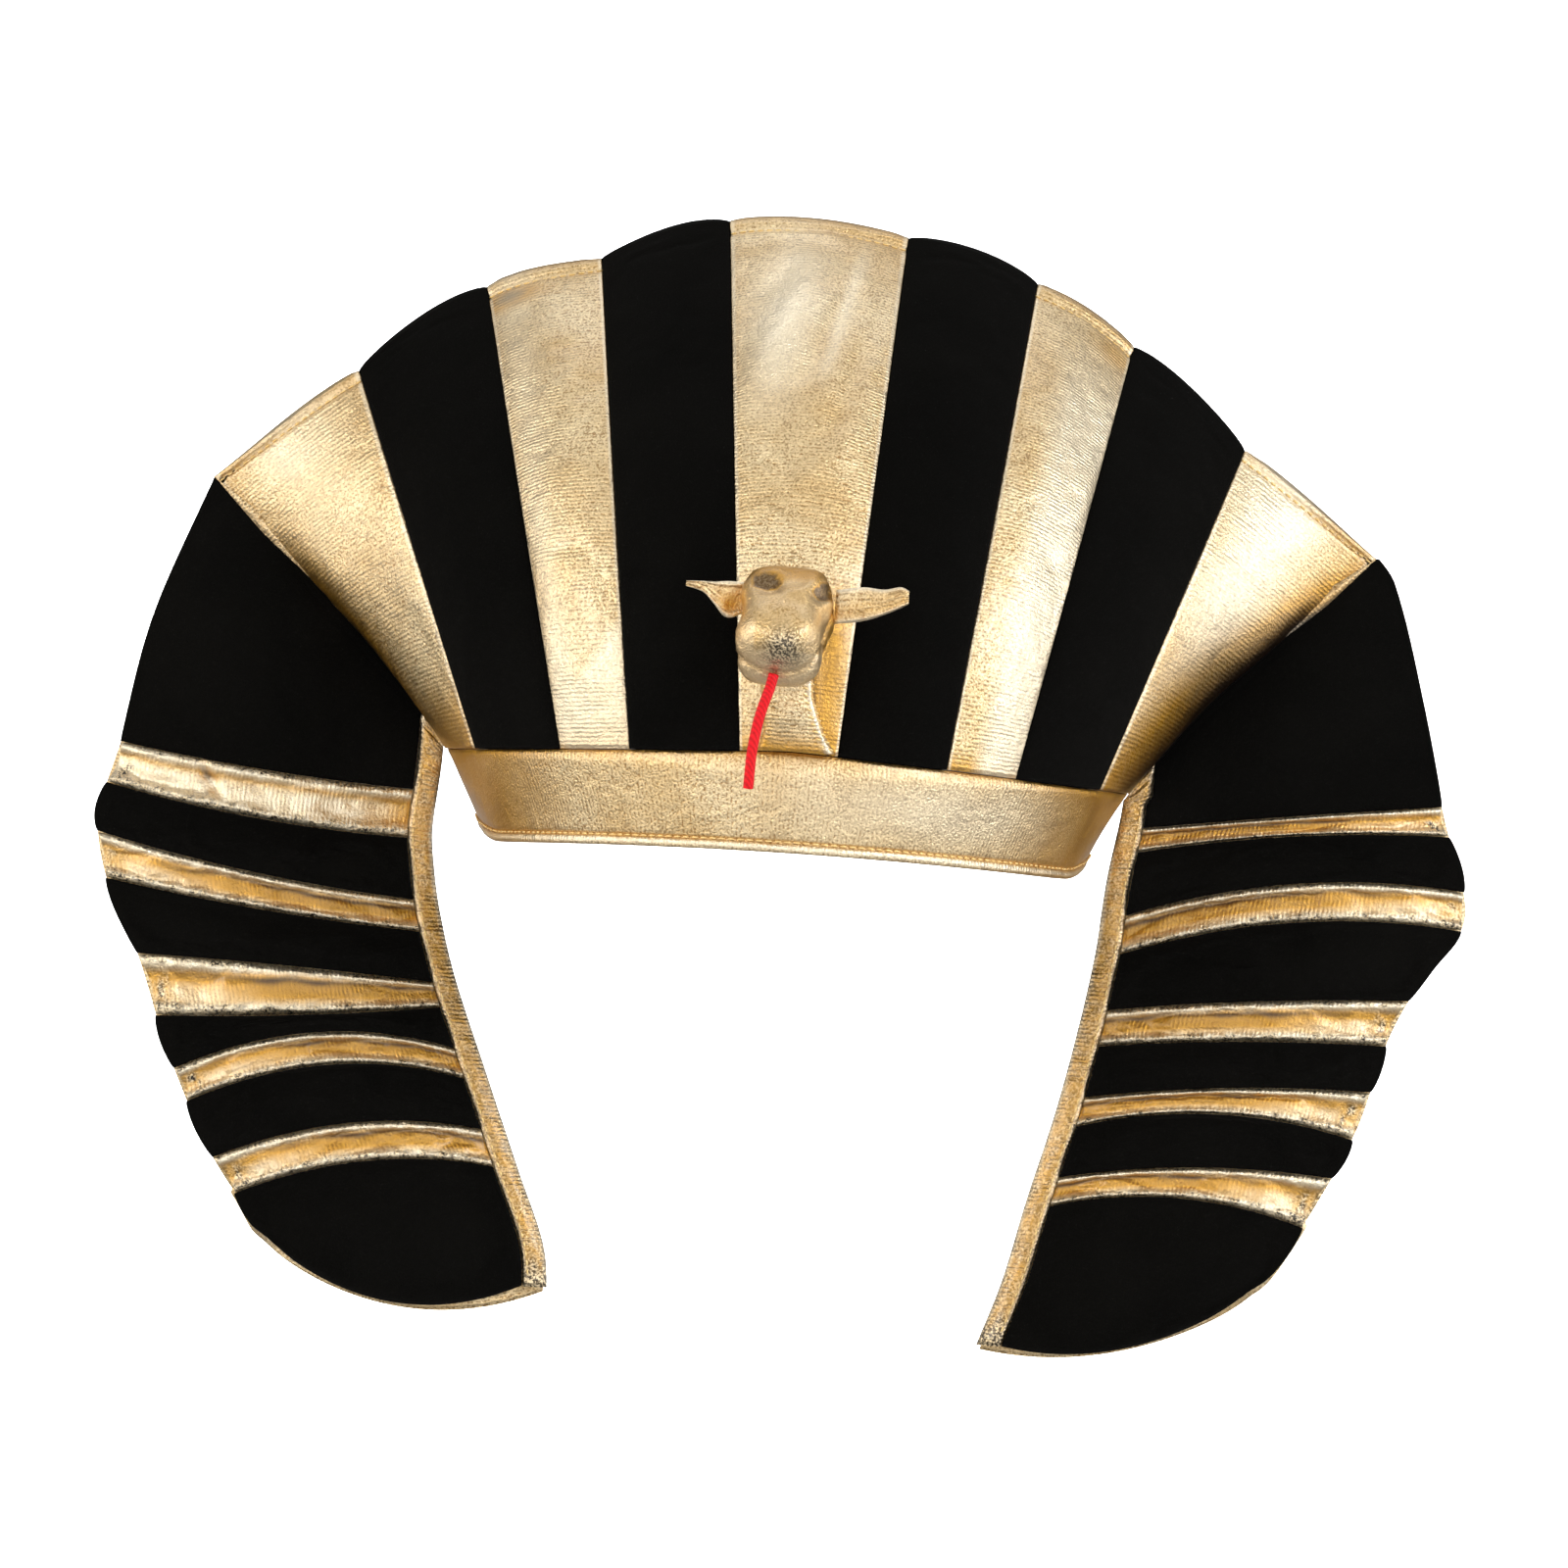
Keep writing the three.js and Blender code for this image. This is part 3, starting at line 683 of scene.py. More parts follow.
# Soft folds of the gold stripes as start, end, width and how proud they stand
gold_creases = {
    -4: [
        ((-0.150, 0.085), (-0.120, 0.062), 0.006, 0.0012),
        ((-0.126, 0.078), (-0.096, 0.040), 0.005, -0.001),
    ],
    -2: [
        ((-0.078, 0.118), (-0.066, 0.082), 0.004, 0.0012),
        ((-0.070, 0.096), (-0.053, 0.068), 0.003, -0.0009),
    ],
    0: [
        ((0.002, 0.176), (-0.020, 0.126), 0.006, 0.0022),
        ((0.014, 0.172), (-0.006, 0.128), 0.003, -0.0014),
        ((0.018, 0.158), (0.002, 0.108), 0.003, -0.0014),
        ((0.014, 0.124), (-0.006, 0.098), 0.004, 0.0010),
    ],
    2: [
        ((0.088, 0.128), (0.072, 0.088), 0.005, 0.0012),
        ((0.082, 0.098), (0.070, 0.060), 0.004, -0.0009),
    ],
    4: [
        ((0.150, 0.088), (0.124, 0.058), 0.005, 0.0013),
        ((0.136, 0.078), (0.108, 0.042), 0.005, -0.0011),
    ],
}
# Painted highlights at the top of the middle stripe: a broad stretch and the thin streak beside it
highlight_stretch = ((-0.003, 0.186), (-0.0155, 0.12), 0.009)
highlight_streak = ((0.014, 0.18), (0.001, 0.13), 0.0022)


def turned_under(stripe, across):
    """Share of an end stripe's width from the lower edge that is rolled in over the lappet."""
    if abs(stripe) < outer_stripe:
        return 1
    return 1 - across if stripe > 0 else across


def fill_out(pieces, fullness, pinned_rim, most):
    """The padding pushes each panel out between its seams: cloth under light air pressure,
    pinned at its seams and back, that is cut a little larger than the frame it fills."""
    started = []
    for piece in pieces:
        rest = [vertex.co.copy() for vertex in piece.data.vertices]
        columns = piece["columns"]
        rows = len(rest) // 2 // columns
        loose = [0.0] * len(rest)
        for row in range(rows):
            first = row * columns
            for column in range(columns):
                index = first + column
                sides = (first, first + columns - 1, column, (rows - 1) * columns + column)
                away = min((rest[index] - rest[side]).length for side in sides)
                loose[index] = min(1, max(0, away / pinned_rim - 0.25))
        sewn = piece.vertex_groups.new(name="sewn")
        for index, share in enumerate(loose):
            sewn.add([index], 1 if share == 0 else 0, "REPLACE")
        cloth = piece.modifiers.new("filling", "CLOTH")
        settings = cloth.settings
        settings.quality = 4
        settings.mass = 0.02
        settings.tension_stiffness = settings.compression_stiffness = 12
        settings.shear_stiffness = 4
        settings.bending_stiffness = 0.4
        settings.tension_damping = settings.compression_damping = settings.shear_damping = 4
        settings.air_damping = 4
        settings.vertex_group_mass = "sewn"
        settings.use_pressure = True
        settings.uniform_pressure_force = 4
        settings.shrink_min = -fullness
        settings.effector_weights.gravity = 0
        cloth.collision_settings.use_collision = False
        cloth.point_cache.frame_start = 1
        cloth.point_cache.frame_end = filling_frames
        started.append((piece, rest, loose))
    for step in range(1, filling_frames + 1):
        scene.frame_set(step)
    graph = bpy.context.evaluated_depsgraph_get()
    for piece, rest, loose in started:
        moved = [vertex.co.copy() for vertex in piece.evaluated_get(graph).data.vertices]
        for index, vertex in enumerate(piece.data.vertices):
            shift = moved[index] - rest[index]
            if shift.length > most:
                shift *= most / shift.length
            vertex.co = rest[index] + shift * loose[index]
    for piece in pieces:
        piece.modifiers.clear()
        piece.vertex_groups.clear()
        piece.data.update()
    scene.frame_set(1)


def fan_stripe_point(stripe, puff, across, rise, front):
    exact = stripe - 0.5 + across
    step = 0.01
    inset = 0
    pace = 1
    if abs(exact) < fan_end - step:
        beyond = crown_surface(exact + step, rise, -1) - crown_surface(exact - step, rise, -1)
        pace = beyond.length / (2 * step)
        inset = clearance / 2 * (1 - 2 * across) / pace
    if not front:
        return crown_wall_point(exact + inset, rise, -1, -fan_wall)
    edge = 4 * across * (1 - across)
    offset = puff * edge ** 0.7 * fullness_up_fan(rise)
    flat = crown_surface(exact, rise, -1)
    is_gold = stripe % 2 == 0
    if is_gold:
        for start, end, width, proud in gold_creases[stripe]:
            offset += proud * crease(flat, start, end, width) * min(1, edge * 2)
        into_seam = exp(-min(across, 1 - across) * max(pace, 0.02) / 0.0035)
        pucker = noise.noise(Vector((flat.x * 30 + across * 9, 0, flat.z * 330)))
        offset += 0.0004 * into_seam * pucker * min(1, edge * 8)
        below_crest = (1 - rise) * 0.15
        offset -= 0.0009 * exp(-((below_crest - 0.0032) / 0.0009) ** 2)
        offset += 0.0005 * exp(-((below_crest - 0.0012) / 0.001) ** 2)
        rolled = max(0, 1 - turned_under(stripe, across) / 0.35) ** 2
        offset -= 0.003 * rolled * max(0, min(1, 2.5 * (0.8 - rise), rise / 0.07))
    soft = noise.noise(Vector((flat.x * 34, stripe * 5.3, flat.z * 26)))
    offset += (0.0009 if is_gold else 0.0005) * soft * min(1, edge * 1.5) * sin(pi * rise)
    return crown_wall_point(exact + inset, rise, -1, offset)


def ramp(value, start, end):
    return min(1, max(0, (value - start) / (end - start)))


def fan_highlight(stripe, across, rise):
    """A thin painted highlight beside each seam, and broad painted highlights on some of the stripes."""
    at_seam = 0.75 * exp(-((min(across, 1 - across) - 0.012) / 0.012) ** 2)
    # Broad painted highlights, stripe by stripe
    smooth = 0
    if stripe == 2:
        smooth = 0.65 * ramp(across, 0.25, 0.5) * ramp(rise, 0.96, 0.8)
    elif stripe == 4:
        smooth = 0.7 * exp(-((across - 0.35) / 0.3) ** 2) * ramp(rise, 0.3, 0.65)
    elif stripe == -2:
        spot = crown_surface(stripe + across - 0.5, rise, -1)
        below_crease = (spot.x + 0.0484) * 0.85 - (spot.z - 0.0705) * 0.526
        smooth = 0.35 * exp(-((across - 0.2) / 0.2) ** 2) + 0.3 * ramp(rise, 0.3, 0.1)
        smooth = max(smooth, 0.6 * ramp(below_crease, 0, 0.003))
    elif stripe == -4:
        smooth = 0.35 * exp(-((across - 0.5) / 0.3) ** 2) * ramp(rise, 0.6, 0.9)
    elif stripe == 0:
        spot = crown_surface(across - 0.5, rise, -1)
        smooth = max(0.85 * crease(spot, *highlight_stretch), 0.6 * crease(spot, *highlight_streak))
    return max(at_seam, smooth)


def fan_painted_shade(stripe, across, rise):
    """Painted shade: up to 1 the cloth turns amber at its seams, foot and crest, and beyond 1 brown
    where it rolls under and in the neck's shadow.
    """
    at_seam = 0.5 * exp(-min(across, 1 - across) / 0.02)
    at_foot = 0.9 * exp(-(rise / (0.13 if abs(stripe) == 4 else 0.035)) ** 2)
    at_crest = 0.4 * exp(-((1 - rise) / 0.016) ** 2)
    if stripe == 0:
        beside_neck = exp(-((across - 0.82) / 0.17) ** 2) * ramp(rise, 0.34, 0.26)
        # Painted shadow that the cobra neck casts on the middle stripe
        shadow = 1.8 * exp(-((across - 0.65 - 0.25 * exp(-rise / 0.06)) / 0.045) ** 2)
        return max(shadow * ramp(rise, 0.32, 0.28), min(1, at_seam + at_foot + at_crest + beside_neck))
    width = 0.14 + (0.95 * (1 - rise) ** 1.5 if stripe == 4 else 0.24 * (1 - rise))
    depth = 0.3 + (1.9 * ramp(rise, 1, 0.7) if stripe == 4 else 1.7 * ramp(rise, 0.75, 0.4))
    under = depth * exp(-(turned_under(stripe, across) / width) ** 2)
    corner = 0
    if stripe == -2:
        corner = 1.7 * exp(-((across - 0.16) / 0.28) ** 2 - ((rise - 0.955) / 0.02) ** 2)
    elif stripe == 2:
        corner = 0.6 * exp(-((across - 0.85) / 0.25) ** 2 - ((rise - 0.945) / 0.025) ** 2)
    return max(under, corner, min(1, at_seam + at_foot + at_crest))


fan_rise_shares = [0.955 * share for share in even_shares(96)]
fan_rise_shares += [0.955 + 0.045 * share for share in even_shares(12)[1:]]
edge_shares = [0.006, 0.018, 0.034]
fan_across_shares = [0] + edge_shares + [0.034 + 0.932 * share for share in even_shares(26)[1:-1]]
fan_across_shares += [1 - share for share in edge_shares[::-1]] + [1]
fan_pieces = []
for number in range(1, stripes_in_fan + 1):
    stripe = number - (stripes_in_fan + 1) // 2
    kind = "gold" if number % 2 == 1 else "velvet"
    piece = sewn_sheet(
        f"fan_stripe_{kind}_{number}", fan_across_shares, fan_rise_shares,
        partial(fan_stripe_point, stripe, puff_of[kind]), cloth_of[kind],
        partial(fan_painted_shade, stripe) if kind == "gold" else None,
        partial(fan_highlight, stripe) if kind == "gold" else None,
    )
    dress(piece, f"fan_{kind}_{number}")
    fan_pieces.append(piece)

fill_out(fan_pieces, fullness=0.003, pinned_rim=0.006, most=0.001)

crest_lines = []
for stripe in range(-outer_stripe, outer_stripe + 1, 2):
    line = []
    for share in even_shares(40):
        spot = fan_stripe_point(stripe, gold_puff, 0.02 + 0.96 * share, crest_stitch_rise, True)
        line.append(spot + Vector((0, -0.0003, 0.0001)))
    crest_lines.append(line)
stitch_row("crest_topstitch", crest_lines, pitch=0.0026, length=0.0019, radius=0.00028)

# Hood: one plain velvet sheet behind the fan, sewn to it along the crest and drawn into
# gathers where it meets the back band.
hood_wall = 0.0025
gather_depth = 0.0016
gathers_per_stripe = 2


def hood_point(across, rise, front):
    place = -fan_end + stripes_in_fan * across
    gather = gather_depth * cos(2 * pi * gathers_per_stripe * place) * (1 - rise) ** 2
    ends = (1 - abs(place / fan_end) ** 6) * gather
    soft = noise.noise(Vector((place * 0.9, rise * 2.2, 7.7))) * 0.0022
    offset = ends + soft * sin(pi * rise) * (1 - abs(place / fan_end) ** 4)
    return crown_wall_point(place, rise, 1, offset - (0 if front else hood_wall))


hood = sewn_sheet("hood_cloth", even_shares(252), even_shares(70), hood_point, velvet)
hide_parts("hood")
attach(hood, "root")

# Lappets: each hangs from the side seam between fan and hood. Six padded velvet panels are
# set apart by five narrow gold insertions, with a gold binding down the inner edge and a gold
# lining whose fold shows along the curved hem.
lappet_reach = 0.199
lappet_drop = 0.139
lappet_forward = 0.024
lappet_curl = 0.007
lappet_puff = 0.005
binding_width = 0.007
binding_puff = 0.0011
lining_show = 0.0012
seam_tuck = 0.003
hem_corner_ease = 0.0028
# Where the widest insertion is caught in a pinched crease, in its front view
pinch_ends = ((0.1725, 0.0177), (0.163, 0.0043))
# Heights as shares of the drop, then left inner, left outer, right inner and right outer edges
lappet_outline = [
    (0.7, 0.504, 0.864, 0.497, 0.84),
    (0.65, 0.504, 0.876, 0.497, 0.864),
    (0.4, 0.504, 0.936, 0.497, 0.916),
    (0.15, 0.504, 0.974, 0.492, 0.966),
    (0, 0.512, 1, 0.477, 1),
    (-0.07, 0.507, 0.998, 0.472, 0.998),
    (-0.16, 0.495, 0.979, 0.467, 0.953),
    (-0.3, 0.466, 0.93, 0.452, 0.904),
    (-0.5, 0.41, 0.876, 0.424, 0.864),
    (-0.7, 0.353, 0.806, 0.388, 0.798),
    (-0.86, 0.308, 0.73, 0.362, 0.73),
    (-1, 0.298, 0.7, 0.33, 0.67),
]
edge_columns = {"left": (1, 2), "right": (3, 4)}
# Seams from the top down: inner, middle and outer heights as shares of the drop
lappet_seams = {
    "left": [
        (0.08, 0.1, 0.14), (-0.02, 0, 0.055),
        (-0.15, -0.115, -0.05), (-0.215, -0.19, -0.145),
        (-0.32, -0.305, -0.3), (-0.37, -0.405, -0.425),
        (-0.455, -0.44, -0.535), (-0.515, -0.505, -0.6),
        (-0.62, -0.625, -0.715), (-0.695, -0.7, -0.785),
        (-0.94, -0.99, -0.87),
    ],
    "right": [
        (0.1, 0.145, 0.185), (0.05, 0.105, 0.125),
        (-0.085, 0.005, 0.01), (-0.165, -0.075, -0.07),
        (-0.285, -0.245, -0.225), (-0.36, -0.33, -0.32),
        (-0.47, -0.43, -0.42), (-0.53, -0.485, -0.52),
        (-0.64, -0.6, -0.605), (-0.7, -0.665, -0.71),
        (-1, -0.985, -0.85),
    ],
}


def read_rows(rows, column, at):
    for above, below in zip(rows, rows[1:]):
        if below[0] <= at:
            share = min(1, max(0, (above[0] - at) / (above[0] - below[0])))
            return above[column] + (below[column] - above[column]) * share
    return rows[-1][column]


def read_smooth(rows, column, at):
    """The same, but along a smooth curve through the rows."""
    last = len(rows) - 1
    first = 0
    while first < last - 1 and rows[first + 1][0] > at:
        first += 1
    around = [rows[max(0, min(last, first + step))] for step in (-1, 0, 1, 2)]
    high, low = around[1], around[2]
    gap = low[0] - high[0]
    share = min(1, max(0, (at - high[0]) / gap))
    leave = (low[column] - around[0][column]) / (low[0] - around[0][0]) * gap
    arrive = (around[3][column] - high[column]) / (around[3][0] - high[0]) * gap
    change = low[column] - high[column]
    bend = 3 * change - 2 * leave - arrive
    return high[column] + leave * share + bend * share ** 2 + (leave + arrive - 2 * change) * share ** 3


def through_three(start, middle, end, share):
    first = start * (1 - share) * (1 - 2 * share)
    return first + middle * 4 * share * (1 - share) + end * share * (2 * share - 1)


TopSeam = namedtuple("TopSeam", "foot_x foot_z width height")
top_seams = {}
for side, place in (("left", -fan_end), ("right", fan_end)):
    foot = crown_surface(place, 0, -1)
    head = crown_surface(place, 1, -1)
    top_seams[side] = TopSeam(abs(foot.x), foot.z, abs(head.x - foot.x), head.z - foot.z)


def top_seam_height(side, x):
    seam = top_seams[side]
    return seam.foot_z + seam.height * min(1, max(0, (x - seam.foot_x) / seam.width))


def lappet_edge_at(side, outer, height):
    return lappet_reach * read_smooth(lappet_outline, edge_columns[side][outer], height / lappet_drop)


def seam_height(side, row, across):
    if row == 0:
        return top_seams[side].foot_z + top_seams[side].height * across
    return lappet_drop * through_three(*lappet_seams[side][row - 1], across)


def on_lappet(side, x, z, layer):
    inner = lappet_edge_at(side, 0, z)
    outer = lappet_edge_at(side, 1, z)
    from_middle = min(1, abs((2 * x - inner - outer) / (outer - inner)))
    below = max(0, top_seam_height(side, x) - z)
    curl = lappet_curl * from_middle ** 2 * min(1, below / (lappet_drop / 3))
    hang = top_seams[side].foot_z + top_seams[side].height + lappet_drop
    lean = lappet_forward * (below / hang) ** 1.3
    return Vector(((-1 if side == "left" else 1) * x, curl - lean + layer, z))


def lappet_place(side, row, across, down, inner_margin, outer_margin, seam_margin):
    """x and z of a place between seam row and the next; down under 0 is the tucked top row."""
    tucked = row == 0
    tuck = seam_tuck * (1 - across ** 2) if tucked and down < 0 else 0
    down = max(0, down)
    inner_top, inner_bottom = seam_height(side, row, 0), seam_height(side, row + 1, 0)
    outer_top, outer_bottom = seam_height(side, row, 1), seam_height(side, row + 1, 1)
    inner_x = lappet_edge_at(side, 0, inner_top + (inner_bottom - inner_top) * down) + inner_margin
    outer_x = lappet_edge_at(side, 1, outer_top + (outer_bottom - outer_top) * down) + outer_margin
    straight_x = inner_x + (outer_x - inner_x) * across
    seam = top_seams[side]
    seam_length = hypot(seam.width, seam.height)
    x = straight_x - tuck * seam.height / seam_length
    top = top_seam_height(side, straight_x) if tucked else seam_height(side, row, across) - seam_margin
    bottom = seam_height(side, row + 1, across) + seam_margin
    z = top + (bottom - top) * down + tuck * seam.width / seam_length
    beside_band = band_half_breadth(z) + clearance + inner_margin if z > -2 * band_dip else 0
    if row == len(lappet_seams[side]) - 1:
        x -= hem_corner_ease * across ** 10 * down ** 8
    return max(x, beside_band), z


def lappet_panel_point(side, row, across, down, front):
    is_gold = row % 2 == 1
    middle = sin(pi * max(0, down))
    bulge = (-0.0012 if is_gold else 0.0012) * middle ** 0.6 * across ** 8
    x, z = lappet_place(side, row, across, down, binding_width + clearance, bulge, clearance / 2)
    if not front:
        return on_lappet(side, x, z, lappet_edge / 2)
    crowned = sin(pi * (0.06 + 0.88 * across)) ** 0.6
    wobble = noise.noise(Vector((x * 60, row * 3.1, z * 45)))
    if is_gold:
        lips = exp(-((down - 0.12) / 0.1) ** 2) + exp(-((down - 0.88) / 0.1) ** 2)
        pucker = noise.noise(Vector((x * 300, row * 7.7, z * 60)))
        pinch = noise.noise(Vector((x * 90, row * 2.9, z * 30)))
        proud = 0.0017 * lips * (0.85 + 0.5 * pucker) - 0.0006 * middle ** 2
        proud += (0.0009 * wobble + 0.0008 * pinch) * middle
        if (side, row) == ("left", 1):
            proud -= 0.0022 * crease(Vector((x, 0, z)), *pinch_ends, 0.0018)
    else:
        proud = lappet_puff * middle ** 0.7 * crowned + 0.0007 * wobble * middle
    return on_lappet(side, x, z, -lappet_edge / 2 - proud)


def insertion_painted_shade(side, row, across, down):
    """Painted shade: amber where the insertion sinks below its lips, brown along the foot of the upper
    lip and in the pinched crease.
    """
    wander = noise.noise(Vector((across * 9, row * 3.3, 1.4)))
    bright = ramp(across, 0.55, 1)
    if (side, row) == ("left", 1):
        x, z = lappet_place(side, row, across, down, binding_width, 0, 0)
        crease_shade = 1.9 * crease(Vector((x, 0, z)), *pinch_ends, 0.0019)
        at_lip = 0.7 * exp(-((down - 0.26) / 0.07) ** 2)
        return max(crease_shade, min(1, 0.9 * ramp(across, 0.12, 0.02) + at_lip))
    sunk = 1.2 * exp(-((down - 0.47) / 0.27) ** 4) * (1 - 0.5 * bright)
    line = exp(-((down - 0.28 - 0.12 * wander) / 0.085) ** 2)
    under_lip = exp(-((down - 0.78) / 0.05) ** 2)
    return sunk + 0.9 * line * (1 - 0.5 * bright) + 0.5 * under_lip


def insertion_highlight(side, row, across, down):
    """Painted highlights on the lips, near the outer end and across the widest insertion, patchy with
    noise.
    """
    lips = exp(-((down - 0.11) / 0.095) ** 2) + exp(-((down - 0.87) / 0.1) ** 2)
    highlight_patchiness = 0.8 + 0.5 * noise.noise(Vector((across * 40, row * 2.7, down * 5)))
    outer_end = 0.55 * ramp(across, 0.6, 0.85) * ramp(across, 0.95, 0.9) * ramp(down, 0.4, 0.6)
    widest = 0.85 * ramp(down, 0.3, 0.45) * ramp(across, 0.05, 0.2) if (side, row) == ("left", 1) else 0
    return min(1, max(1.1 * lips, outer_end, widest) * highlight_patchiness)


def insertion_wear_and_shade(row, across, down):
    """The print has cracked to dark flecks along the lips; at the creased outer end the dark flecks are
    painted shade as well as cracked print.
    """
    lips = 0.7 * exp(-((down - 0.05) / 0.05) ** 2) + 1.1 * exp(-((down - 0.9) / 0.08) ** 2)
    flecks = noise.noise(Vector((across * 75, row * 4.1, down * 9)))
    shaded_end = exp(-((across - 0.96) / 0.03) ** 2) * ramp(down, 0.15, 0.45)
    cracks = noise.noise(Vector((across * 140, row * 6.3, down * 4)))
    return min(1, max(0.3, 6 * flecks) * lips + max(0, 0.25 + 2.5 * cracks) * shaded_end)


def whole_lappet_places():
    """Rows and shares down them, for the strips that run the whole length of a lappet."""
    places = [(0, -1)]
    for row in range(len(lappet_seams["left"])):
        steps = 28 if row == 0 else 8 if row % 2 == 1 else 16
        places += [(row, step / steps) for step in range(steps)]
    return places + [(len(lappet_seams["left"]) - 1, 1)]


strip_places = whole_lappet_places()


def binding_point(side, across, along, front):
    row, down = strip_places[round((1 - along) * (len(strip_places) - 1))]
    x, z = lappet_place(side, row, 0, down, binding_width * across, 0, 0)
    ripple = noise.noise(Vector((across * 2, 1.7, z * 260)))
    raised = binding_puff * sin(pi * across) ** 0.5 + 0.0005 * ripple * sin(pi * across)
    tucked = row == 0 and down < 0.08
    layer = lappet_edge / 2 + (raised if front and not tucked else 0)
    return on_lappet(side, x, z, -layer if front else layer)


def binding_wear(across, along):
    """Speckled all along, and frayed at the tip."""
    speckle = 0.28 + 0.5 * noise.noise(Vector((across * 3, 8.2, along * 90)))
    return min(0.95, max(0, speckle) + exp(-(along / 0.02) ** 2))


def lining_point(side, across, along, front):
    row, down = strip_places[round((1 - along) * (len(strip_places) - 1))]
    last = lining_show if row == len(lappet_seams[side]) - 1 else 0
    x, z = lappet_place(side, row, across, down, 0.001, last, 0)
    layer = lappet_edge / 2 + lining_clearance + (0 if front else lining_thickness)
    return on_lappet(side, x, z - last * max(0, down), layer)


panel_across_shares = even_shares(72)
binding_across_shares = even_shares(10)
strip_shares = even_shares(len(strip_places) - 1)
lappet_panels = []
for side in ("left", "right"):
    for row in range(len(lappet_seams[side])):
        is_gold = row % 2 == 1
        kind = "gold" if is_gold else "velvet"
        number = row // 2 + 1
        down_shares = ([-1] if row == 0 else []) + even_shares(22 if is_gold else 34)
        piece = sewn_sheet(
            f"lappet_{side}_panel_{kind}_{number}", panel_across_shares, down_shares,
            partial(lappet_panel_point, side, row), cloth_of[kind],
            partial(insertion_painted_shade, side, row) if is_gold else None,
            partial(insertion_highlight, side, row) if is_gold else None,
        )
        if is_gold:
            wear = [
                insertion_wear_and_shade(row, across, down)
                for down in down_shares for across in panel_across_shares
            ]
            set_attribute(piece, "wear_and_shade", wear + wear)
            for loop_uv in piece.data.uv_layers["cloth"].data:
                loop_uv.uv = (loop_uv.uv.y, loop_uv.uv.x)
        lappet_panels.append(piece)
        dress(piece, f"lappet_{side}_{kind}_{number}")
    # Amber painted shade over the whole binding, and a painted highlight along both its edges
    binding = sewn_sheet(
        f"lappet_{side}_binding_strip", binding_across_shares, strip_shares,
        partial(binding_point, side), gold,
        lambda across, along: 0.9,
        lambda across, along: 0.9 * exp(-(min(across, 1 - across) / 0.12) ** 2),
    )
    wear = [binding_wear(across, along) for along in strip_shares for across in binding_across_shares]
    set_attribute(binding, "wear_and_shade", wear + wear)
    dress(binding, f"lappet_{side}_binding")
    stitch_line = []
    for share in even_shares(240):
        spot = binding_point(side, 0.8, share, True)
        stitch_line.append(spot + Vector((0, -0.0003, 0)))
    stitch_row(f"lappet_{side}_binding_topstitch", [stitch_line[4:-30]],
               pitch=0.0027, length=0.002, radius=0.0003)
    lining = sewn_sheet(
        f"lappet_{side}_lining_sheet", even_shares(40), strip_shares, partial(lining_point, side), gold,
    )
    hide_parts(f"lappet_{side}_lining")
    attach(lining, "root")

fill_out(lappet_panels, fullness=0.02, pinned_rim=0.003, most=0.0015)

# Cobra neck: a flat stuffed strip of gold foil knit, sewn into the seam above the band. The
# right edge stands free of the fan.
neck_rise = 0.052
neck_width = 0.015
neck_thickness = 0.005
neck_lean = 0.006
neck_shown = 0.92
whip_stitches = 22
neck_rows = [(1, 1.35, -0.33), (0.65, 1.05, -0.2), (0.33, 1, -0.1), (0.12, 1.15, 0.07), (0, 1.45, 0.15)]
neck_foot = band_height + clearance
neck_back = -band_half_length(band_height) - gold_puff * fullness_up_fan(0) - clearance


def neck_point(across, along, front):
    wide = neck_width * read_rows(neck_rows, 1, along)
    aside = neck_width * read_rows(neck_rows, 2, along)
    full = (4 * across * (1 - across)) ** 0.5 * min(1, 0.4 + 3 * along, 0.5 + 3 * (1 - along))
    ripple = noise.noise(Vector((across * 3, 2.2, along * 9)))
    lip = 0.0009 * exp(-((across - 0.93) / 0.035) ** 2) * (1 + noise.noise(Vector((5, 5, along * 60))))
    layer = 0.001 + (neck_thickness - 0.001) * full + 0.0007 * ripple * full + lip if front else 0
    y = neck_back - neck_lean * along - layer
    return Vector((aside + wide * (across - 0.5), y, neck_foot + neck_rise * neck_shown * along))


# Painted shade along the left edge and foot of the neck, and a painted highlight on its free right lip
neck = sewn_sheet("cobra_neck_strip", even_shares(28), even_shares(60), neck_point, gold,
                  lambda across, along: min(1, 0.9 * exp(-across / 0.06) + exp(-(along / 0.08) ** 2)),
                  lambda across, along: 0.95 * exp(-((across - 0.93) / 0.05) ** 2))
dress(neck, "cobra_neck")
whip_lines = []
for stitch in range(whip_stitches):
    along = 0.04 + 0.9 * stitch / (whip_stitches - 1)
    inner = neck_point(0.87, along, True)
    outer = neck_point(0.975, along - 0.012, True)
    whip_lines.append([inner + Vector((0, -0.0002, 0)), outer + Vector((0, -0.0002, 0))])
stitch_row("cobra_neck_whipstitch", whip_lines, pitch=0.0018, length=0.0021, radius=0.00034)

